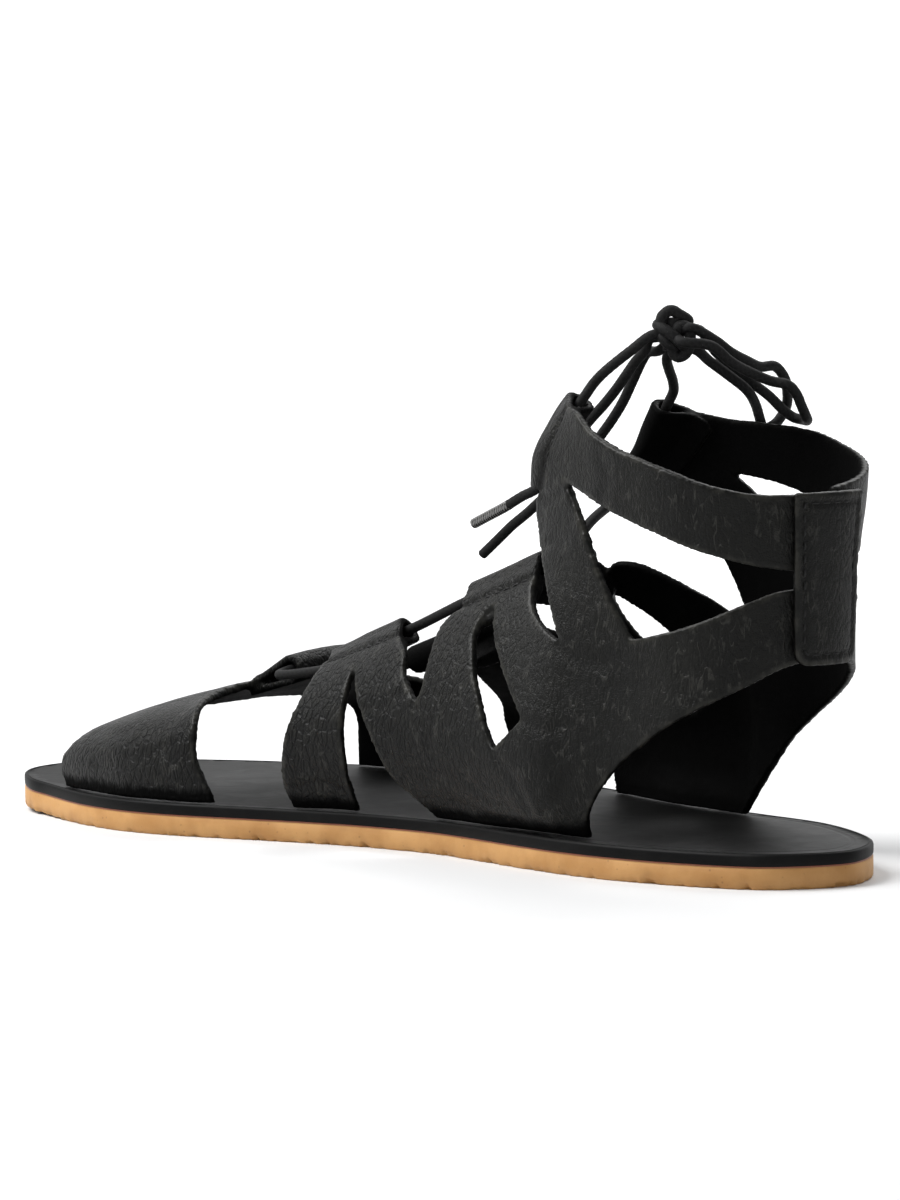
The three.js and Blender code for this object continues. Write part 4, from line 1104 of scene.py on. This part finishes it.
# %% [markdown]
# The knot is built from turns of the same lace round a small core. Its turns were read off the
# photograph as places to the right, up and towards the viewer from the knot's middle.
# %% Knot
KNOT_TURNS = [
    [(-2.8, 2.2, 0.9), (-2.2, 4.2, 1.2), (-0.4, 5.3, 1.2), (1.4, 4.4, 1.0), (3.3, 3.2, -0.2), (2.6, 2.4, -2.2),
     (0.0, 2.8, -3.0), (-2.4, 2.2, -1.6)],
    [(-3.3, 2.2, 0.3), (-2.4, 1.4, 2.0), (-0.4, 0.0, 2.9), (1.6, -1.8, 2.7), (3.0, -3.0, 1.0), (2.4, -2.6, -1.6),
     (0.2, -0.4, -2.8), (-2.4, 1.6, -1.8)],
    [(1.4, 1.8, 1.9), (3.0, 1.6, 1.8), (3.7, -0.4, 1.9), (3.5, -2.6, 1.9), (2.6, -4.2, 1.2), (1.1, -4.8, 0.8),
     (0.1, -3.8, 0.8), (0.2, -1.4, 1.2)],
    [(-2.4, -0.4, 1.2), (-1.3, -1.8, 1.8), (0.2, -2.7, 1.2), (1.0, -2.2, -1.6), (-0.6, -0.8, -2.4),
     (-2.3, -0.1, -0.8)],
]
KNOT_LACE, KNOT_CORE = 1.28, 2.3


def knot_place(right, up, near):
    return Vector(KNOT) + CAMERA_RIGHT * right + CAMERA_UP * up - look * near


knot_parts = []
for turn in KNOT_TURNS:
    ring = line_through([tuple(knot_place(*spot)) for spot in turn], LACE_STEP, closed=True)
    knot_parts.append(np.vstack([ring, ring[:2]]))
turns = [braided(f"turn_{k}", line, KNOT_LACE) for k, line in enumerate(knot_parts)]
core = [tuple(knot_place(0.1, height, -0.2)) for height in (-3.4, -2, 0, 2, 3.6)]
core_tube = tube(line_through(core, 0.5), KNOT_CORE, 16)
parts = [core_tube] + [(corners_of(t), [tuple(p.vertices) for p in t.data.polygons]) for t in turns]
weaves = [np.zeros(len(core_tube[0]))]
for t in turns:
    values = np.empty(len(t.data.vertices), np.float32)
    t.data.attributes["weave"].data.foreach_get("value", values)
    weaves.append(values)
    bpy.data.objects.remove(t, do_unlink=True)
knot = new_object("bow_knot", *joined(parts))
set_number(knot, "weave", np.concatenate(weaves))
knot.data.polygons.foreach_set("use_smooth", np.ones(len(knot.data.polygons), bool))
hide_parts("lace_knot")
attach(knot, BODY)

# %% [markdown]
# Four free stretches leave the knot: two loops of the bow, limp and bent over by their own
# weight, and two ends that hang forward. The length of each is printed.
# %% Bow loops and ends
UPPER_BOW = [
    (-72, 0.5, 116.5), (-75, 0, 117.5), (-76.5, -6.5, 114.5), (-77.5, -10, 112),
    (-77.5, -15, 110), (-77, -20, 108.5), (-77.5, -24, 108.5), (-77.5, -27, 106),
    (-76, -29.5, 103), (-74.5, -31, 100), (-73, -31.5, 98), (-72.5, -30, 96), (-72.5, -28, 95),
    (-71, -27, 94.5), (-70.5, -26.5, 96.5), (-72, -23.5, 100), (-74.5, -18, 103.5),
    (-73.5, -13, 107), (-72.5, -8.5, 110), (-73.5, -3.5, 112.5), (-71.5, 0, 114),
]
LOWER_BOW = [
    (-72, 1.5, 115.5), (-75.5, 3, 114.5), (-79, -2.5, 113.5), (-80.5, -7, 110),
    (-80.5, -13, 107.5), (-82, -18, 105.5), (-85, -20.5, 104.5), (-85.5, -22.5, 102.5),
    (-85.5, -24, 100), (-85, -26, 97.5), (-83, -28.5, 96.5), (-80.5, -30, 96.5),
    (-78, -29.5, 97), (-76.5, -28, 98.5), (-74, -25.5, 102), (-71, -22, 105.5),
    (-70.5, -17.5, 108.5), (-71, -12, 112), (-72.5, -5, 117), (-71.5, -0.5, 116.5),
]
LONG_END = [
    (-69.5, 2, 115.5), (-65.5, 3, 115), (-64.5, 3.5, 112.5), (-62, 4, 110), (-60, 5, 107),
    (-57.5, 5.5, 104), (-54, 6, 100.5), (-50, 6.5, 97), (-46, 7, 93), (-41.5, 7, 89),
    (-37.5, 7, 85), (-33.5, 7, 81.5), (-28.5, 7, 79.5), (-23, 7, 77), (-18, 7, 75), (-13, 7, 73),
]
SHORT_END = [
    (-69.5, 0.5, 115), (-66, 0.5, 112.5), (-62, 0, 112), (-59, -1, 110), (-56, -1, 105.5),
    (-53.5, -0.5, 101), (-51, 0, 97.5), (-48, 0.5, 94), (-44, 1.5, 89.5), (-39.5, 2, 85.5),
    (-34, 2, 81.5), (-29.5, 2, 78.5), (-25, 2, 75.5), (-20, 2, 72.5), (-15, 2, 69),
    (-10, 2, 65.5),
]
TIP_LENGTH, TIP_RADIUS = 12.5, 1.2


def free_cord(name, node, rows):
    line = line_through(rows, LACE_STEP)
    piece = braided(name, line)
    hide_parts(node)
    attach(piece, BODY)
    path = [tuple(line[k] * MM) for k in np.linspace(0, len(line) - 1, len(line) // 3).astype(int)]
    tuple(path[0])
    lace_pieces.append(piece)
    print(name, round(run_length(line), 1), "mm")
    return line


free_cord("bow_upper", "bow_loop_upper", UPPER_BOW)
free_cord("bow_lower", "bow_loop_lower", LOWER_BOW)
long_line = line_through(LONG_END, LACE_STEP)
tip_line = long_line[-round(TIP_LENGTH / LACE_STEP):]
tip_points, tip_faces = tube(np.vstack([tip_line, 2 * tip_line[-1] - tip_line[-2]]), TIP_RADIUS, 20)
tip = new_object("lace_tip", tip_points, tip_faces)
tip.data.polygons.foreach_set("use_smooth", np.ones(len(tip.data.polygons), bool))
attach(tip, BODY)
free_cord("end_long", "lace_end_long", LONG_END)
free_cord("end_short", "lace_end_short", SHORT_END)
lace_pieces.append(knot)

# %% [markdown]
# Shader maths reads best as plain expressions. One class wraps an output of a node, and its
# operators add the Math nodes, so a mask can be written as 1 - edge * 2.
# %% Shader helper
class Value:
    def __init__(self, finish, socket):
        self.finish, self.socket = finish, socket

    def maths(self, operation, *others):
        inputs = {k: v for k, v in enumerate((self,) + others)}
        return self.finish.node("ShaderNodeMath", {"operation": operation}, inputs)

    def __add__(self, other):
        return self.maths("ADD", other)

    def __mul__(self, other):
        return self.maths("MULTIPLY", other)

    def __sub__(self, other):
        return self.maths("SUBTRACT", other)

    def __rsub__(self, other):
        return self.finish.node("ShaderNodeMath", {"operation": "SUBTRACT"}, {0: other, 1: self})

    def __truediv__(self, other):
        return self.maths("DIVIDE", other)

    __radd__, __rmul__ = __add__, __mul__

    def between(self, low, high):
        """0 at low, 1 at high and an S curve between"""
        inputs = {"Value": self, "From Min": low, "From Max": high}
        return self.finish.node("ShaderNodeMapRange", {"interpolation_type": "SMOOTHSTEP"}, inputs)


class Finish:
    def __init__(self, name, **fixed):
        self.material = bpy.data.materials.new(name)
        self.material.use_nodes = True
        self.tree = self.material.node_tree
        self.shader = self.tree.nodes["Principled BSDF"]
        for socket, value in fixed.items():
            self.shader.inputs[socket.replace("_", " ")].default_value = value

    def node(self, kind, settings=None, inputs=None, output=0):
        node = self.tree.nodes.new(kind)
        for key, value in (settings or {}).items():
            setattr(node, key, value)
        for key, value in (inputs or {}).items():
            if isinstance(value, Value):
                self.tree.links.new(value.socket, node.inputs[key])
            else:
                node.inputs[key].default_value = value
        return Value(self, node.outputs[output])

    def place(self):
        """Places on the object in millimetres"""
        here = self.node("ShaderNodeTexCoord", output="Object")
        return self.node("ShaderNodeVectorMath", {"operation": "SCALE"}, {0: here, "Scale": 1 / MM})

    def height(self):
        return self.node("ShaderNodeSeparateXYZ", {}, {0: self.place()}, "Z")

    def along_foot(self):
        return self.node("ShaderNodeSeparateXYZ", {}, {0: self.place()}, "X")

    def matte_where(self, share, colour):
        """Where share is 1, a matte shader takes over from the main one"""
        settings = {"Base Color": colour, "Roughness": 0.9, "Specular IOR Level": 0.03}
        matte = self.node("ShaderNodeBsdfPrincipled", {}, settings)
        shaders = {0: share, 1: Value(self, self.shader.outputs[0]), 2: matte}
        mixed = self.node("ShaderNodeMixShader", {}, shaders)
        self.tree.links.new(mixed.socket, self.tree.nodes["Material Output"].inputs["Surface"])

    def clouds(self, size, detail=3.0, rough=0.55, distortion=0.0):
        inputs = {"Vector": self.place(), "Scale": 1 / size, "Detail": detail, "Roughness": rough,
                  "Distortion": distortion}
        return self.node("ShaderNodeTexNoise", {}, inputs)

    def stretched(self, shares):
        return self.node("ShaderNodeVectorMath", {"operation": "MULTIPLY"}, {0: self.place(), 1: shares})

    def ridges(self, size, shares, width=0.12):
        """Thin raised lines where a stretched noise passes its middle"""
        inputs = {"Vector": self.stretched(shares), "Scale": 1 / size, "Detail": 2.0, "Distortion": 0.6}
        away = (self.node("ShaderNodeTexNoise", {}, inputs) - 0.5).maths("ABSOLUTE")
        return 1 - away.between(0.0, width)

    def cells(self, size, feature="F1", bend=0.0, shares=(1, 1, 1)):
        vector = self.stretched(shares)
        if bend:
            shift = self.node("ShaderNodeTexNoise", {}, {"Vector": vector, "Scale": 0.6 / size}, output=1)
            scaled = self.node("ShaderNodeVectorMath", {"operation": "SCALE"}, {0: shift, "Scale": bend * size})
            vector = self.node("ShaderNodeVectorMath", {"operation": "ADD"}, {0: vector, 1: scaled})
        return self.node("ShaderNodeTexVoronoi", {"feature": feature}, {"Vector": vector, "Scale": 1 / size})

    def number(self, name):
        return self.node("ShaderNodeAttribute", {"attribute_name": name}, output="Fac")

    def blend(self, amount, first, second):
        inputs = {"Factor": amount, "A": first, "B": second}
        node = self.tree.nodes.new("ShaderNodeMix")
        node.data_type = "RGBA"
        for socket, value in ((node.inputs[0], amount), (node.inputs[6], first), (node.inputs[7], second)):
            if isinstance(value, Value):
                self.tree.links.new(value.socket, socket)
            else:
                socket.default_value = value
        return Value(self, node.outputs[2])

    def give(self, **links):
        for socket, value in links.items():
            self.tree.links.new(value.socket, self.shader.inputs[socket.replace("_", " ")])

    def bump(self, height):
        """height in millimetres"""
        inputs = {"Strength": 1.0, "Distance": MM, "Height": height}
        self.give(Normal=self.node("ShaderNodeBump", {}, inputs))


def grey(value, warm=0.0):
    return (value * (1 + warm), value, value * (1 - warm), 1)


# %% [markdown]
# The straps are black full-grain leather: a pebble of under a millimetre, long veins where it has
# bent, and a smoother, lighter band where the hide was cut and rubbed.
# %% Black leather
def leather_finish():
    finish = Finish("black_leather", Specular_IOR_Level=0.17)
    upright = (1, 1, 0.5)
    pebble = finish.cells(1.5, "DISTANCE_TO_EDGE", 0.6, upright).between(0.0, 0.2)
    small = finish.cells(0.55, "DISTANCE_TO_EDGE", 0.4).between(0.0, 0.3)
    fade = finish.clouds(3.5, 5)
    wrinkles = finish.ridges(2.2, (1, 1, 0.3), 0.045) * fade.between(0.46, 0.6)
    patches = finish.clouds(16, 4)
    edge = 1 - finish.number("from_edge").between(0.5, 1.5)
    flesh = finish.number("flesh")
    grain = (1 - edge * 0.8) * (1 - flesh * 0.85)
    forward = finish.along_foot().between(-75, -5) * 0.7 + 0.3
    finish.bump(
        (pebble * forward * 0.24 + small * 0.05 + wrinkles * 0.13) * grain
        + fade * 0.08 + finish.clouds(0.3, 3) * (0.04 + flesh * 0.08)
    )
    colour = finish.blend(patches.between(0.35, 0.7) * 0.6, (0.0036, 0.0037, 0.003, 1), (0.0078, 0.0077, 0.0062, 1))
    # Painted shade: the grooves between the pebbles are darkened, more so towards the front.
    colour = finish.blend((1 - pebble) * grain * forward * 0.8, colour, grey(0.0015))
    # Painted highlight: the wrinkle ridges are lightened.
    colour = finish.blend(wrinkles * grain * 0.45, colour, (0.045, 0.044, 0.039, 1))
    colour = finish.blend(flesh * 0.85, colour, (0.001, 0.001, 0.001, 1))
    colour = finish.blend(edge * fade.between(0.4, 0.6) * 0.6, colour, (0.03, 0.029, 0.024, 1))
    # Painted shade: the lowest few millimetres of each strap, down at the insole, turn near black.
    foot = 1 - (finish.height() + fade * 3 - 1.5).between(FOOT_LINE + 1.6, FOOT_LINE + 4)
    colour = finish.blend(foot * 0.95, colour, grey(0.0004))
    finish.give(Base_Color=colour)
    finish.give(Roughness=0.4 + patches * 0.12 - edge * 0.05)
    # The matte black shader covers the flesh side, which is matte, and the painted shade at the strap feet.
    finish.matte_where(1 - (1 - flesh * 0.9) * (1 - foot * 0.92), grey(0.0012))
    return finish.material


black_leather = leather_finish()
for piece in leather_pieces:
    piece.data.materials.clear()
    piece.data.materials.append(black_leather)

# %% [markdown]
# The insole is smoother: satin black, faintly scuffed along the foot, with a pressed line that
# follows the rim round the heel.
# %% Insole leather
LINE_INSET, LINE_END = 4.5, -45


def insole_finish():
    finish = Finish("insole_leather", Specular_IOR_Level=0.1)
    fine = finish.clouds(0.5, 4)
    scuffs = finish.clouds(9, 6, 0.65, 0.8)
    wide = finish.clouds(34, 3)
    rim = finish.number("from_rim")
    line = rim.between(LINE_INSET - 0.9, LINE_INSET - 0.2) * (1 - rim.between(LINE_INSET + 0.2, LINE_INSET + 0.9))
    behind = 1 - finish.along_foot().between(LINE_END - 12, LINE_END)
    finish.bump(fine * 0.025 + scuffs * 0.05 - line * behind * 0.12)
    worn = scuffs.between(0.45, 0.75) * 0.5 + wide.between(0.4, 0.7) * 0.4
    finish.give(Base_Color=finish.blend(worn, grey(0.003), grey(0.009, 0.02)))
    finish.give(Roughness=0.38 + scuffs * 0.2 + wide * 0.1)
    return finish.material


insole.data.materials.append(insole_finish())

# %% [markdown]
# Natural gum rubber is pale and waxy. Its side is speckled with darker crumbs, and light soaks a
# little way into it, so a touch of subsurface is set on the shader itself.
# %% Gum rubber and glue
def gum_finish():
    finish = Finish(
        "gum_rubber", Subsurface_Weight=0.12, Subsurface_Radius=(0.003, 0.0018, 0.0009), Subsurface_Scale=0.5,
    )
    clouds = finish.clouds(11, 5)
    crumbs = 1 - finish.cells(1.9, bend=0.4).between(0.05, 0.2)
    streaks = finish.clouds(2.2, 5, 0.6)
    colour = finish.blend(clouds.between(0.3, 0.7), (0.42, 0.205, 0.058, 1), (0.54, 0.29, 0.1, 1))
    colour = finish.blend(crumbs * streaks.between(0.45, 0.6) * 0.6, colour, (0.2, 0.09, 0.035, 1))
    finish.give(Base_Color=colour)
    finish.give(Roughness=0.5 + streaks * 0.2)
    finish.bump(streaks * 0.09 + clouds * 0.05)
    return finish.material


def glue_finish():
    finish = Finish("glue", Roughness=0.45)
    patches = finish.clouds(2.5, 4)
    finish.give(Base_Color=finish.blend(patches, (0.16, 0.035, 0.015, 1), (0.3, 0.1, 0.045, 1)))
    return finish.material


outsole.data.materials.append(gum_finish())
glue.data.materials.append(glue_finish())

# %% [markdown]
# The lace is a dull black braid. The relief is real; the finish adds painted shade in the gaps and
# scatters a few pale fibres over the strands. Its glued tip shines.
# %% Lace, thread and tip
def lace_finish():
    finish = Finish("black_braid", Specular_IOR_Level=0.22)
    weave = finish.number("weave").between(-0.2, 0.9)
    fibres = finish.clouds(0.3, 2).between(0.6, 0.74)
    # Painted shade: the braid is darker in the gaps between the strands.
    colour = finish.blend(weave, grey(0.004), grey(0.008))
    finish.give(Base_Color=finish.blend(fibres * 0.4, colour, grey(0.06, 0.02)))
    finish.give(Roughness=0.72 + fibres * 0.1)
    finish.bump(finish.clouds(0.22, 2) * 0.05)
    return finish.material


def thread_finish():
    finish = Finish("black_thread", Specular_IOR_Level=0.35)
    twist = finish.clouds(0.3, 2)
    finish.give(Base_Color=finish.blend(twist, grey(0.002), grey(0.006)), Roughness=0.5 + twist * 0.2)
    return finish.material


def tip_finish():
    finish = Finish("glazed_tip", Coat_Roughness=0.12, Specular_IOR_Level=0.6)
    wave = finish.node(
        "ShaderNodeTexWave", {"wave_type": "BANDS", "bands_direction": "X"},
        {"Vector": finish.place(), "Scale": 0.5, "Distortion": 5.0, "Detail": 2.0},
    )
    zigzag = wave.between(0.35, 0.65)
    finish.give(Base_Color=finish.blend(zigzag * 0.6, grey(0.005), (0.2, 0.195, 0.185, 1)))
    finish.give(Coat_Weight=0.5 + zigzag * 0.4, Roughness=0.25 + zigzag * 0.15)
    finish.bump(zigzag * 0.06)
    return finish.material


braid = lace_finish()
for piece in lace_pieces:
    piece.data.materials.append(braid)
stitches.data.materials.append(thread_finish())
tip.data.materials.append(tip_finish())

# %% [markdown]
# A pale floor turns up into a wall behind the sandal, and large soft lights wrap round the black
# leather so that its relief reads.
# %% Floor and light
FLOOR_HALF, FLOOR_DEPTH, BEND_RADIUS, WALL_HEIGHT = 2.5, 1.3, 0.8, 2.4
away = Vector((look.x, look.y, 0)).normalized()
across = Vector((away.y, -away.x, 0))
profile = [(-2.5, 0.0), (FLOOR_DEPTH, 0.0)]
profile += [
    (FLOOR_DEPTH + BEND_RADIUS * math.sin(a), BEND_RADIUS * (1 - math.cos(a)))
    for a in (math.pi / 2 * k / 24 for k in range(1, 25))
]
profile.append((FLOOR_DEPTH + BEND_RADIUS, WALL_HEIGHT))
floor_points = [tuple(away * d + across * s * FLOOR_HALF + Vector((0, 0, h))) for d, h in profile for s in (-1, 1)]
floor_faces = [(2 * i, 2 * i + 1, 2 * i + 3, 2 * i + 2) for i in range(len(profile) - 1)]
floor = new_object("floor", floor_points, floor_faces, scale=1)
floor.data.polygons.foreach_set("use_smooth", np.ones(len(floor_faces), bool))
paper = Finish("pale_paper", Roughness=0.75, Specular_IOR_Level=0.2, Emission_Strength=0.6)
paper.give(Base_Color=paper.blend(paper.clouds(60, 3), grey(0.69), grey(0.72)))
far_off = paper.node("ShaderNodeVectorMath", {"operation": "LENGTH"}, {0: paper.place()}, "Value").between(450, 1000)
paper.give(Emission_Color=paper.blend(far_off, grey(0.0), grey(1.0)))
floor.data.materials.append(paper.material)

# Columns: place to the right, up and towards the camera; width, height, power
SOFT_LIGHTS = {
    "key": ((-0.75, 1.1, 0.05), 0.9, 0.7, 25),
    "rim": ((0.5, 1.1, -0.8), 1.1, 0.6, 9),
    "fill": ((0.9, 0.5, 0.9), 0.8, 0.8, 1),
}
for name, (spot, width, height, power) in SOFT_LIGHTS.items():
    data = bpy.data.lights.new(name, "AREA")
    data.shape, data.size, data.size_y, data.energy = "RECTANGLE", width, height, power
    light = bpy.data.objects.new(name, data)
    place = -across * -spot[0] + Vector((0, 0, spot[1])) - away * spot[2]
    light.location = place
    light.rotation_euler = (Vector((0, 0, 0.05)) - place).to_track_quat("-Z", "Y").to_euler()
    bpy.context.scene.collection.objects.link(light)
world = bpy.data.worlds.new("soft_room")
world.use_nodes = True
world.node_tree.nodes["Background"].inputs[0].default_value = (0.95, 0.97, 1.0, 1)
world.node_tree.nodes["Background"].inputs[1].default_value = 0.3
bpy.context.scene.world = world
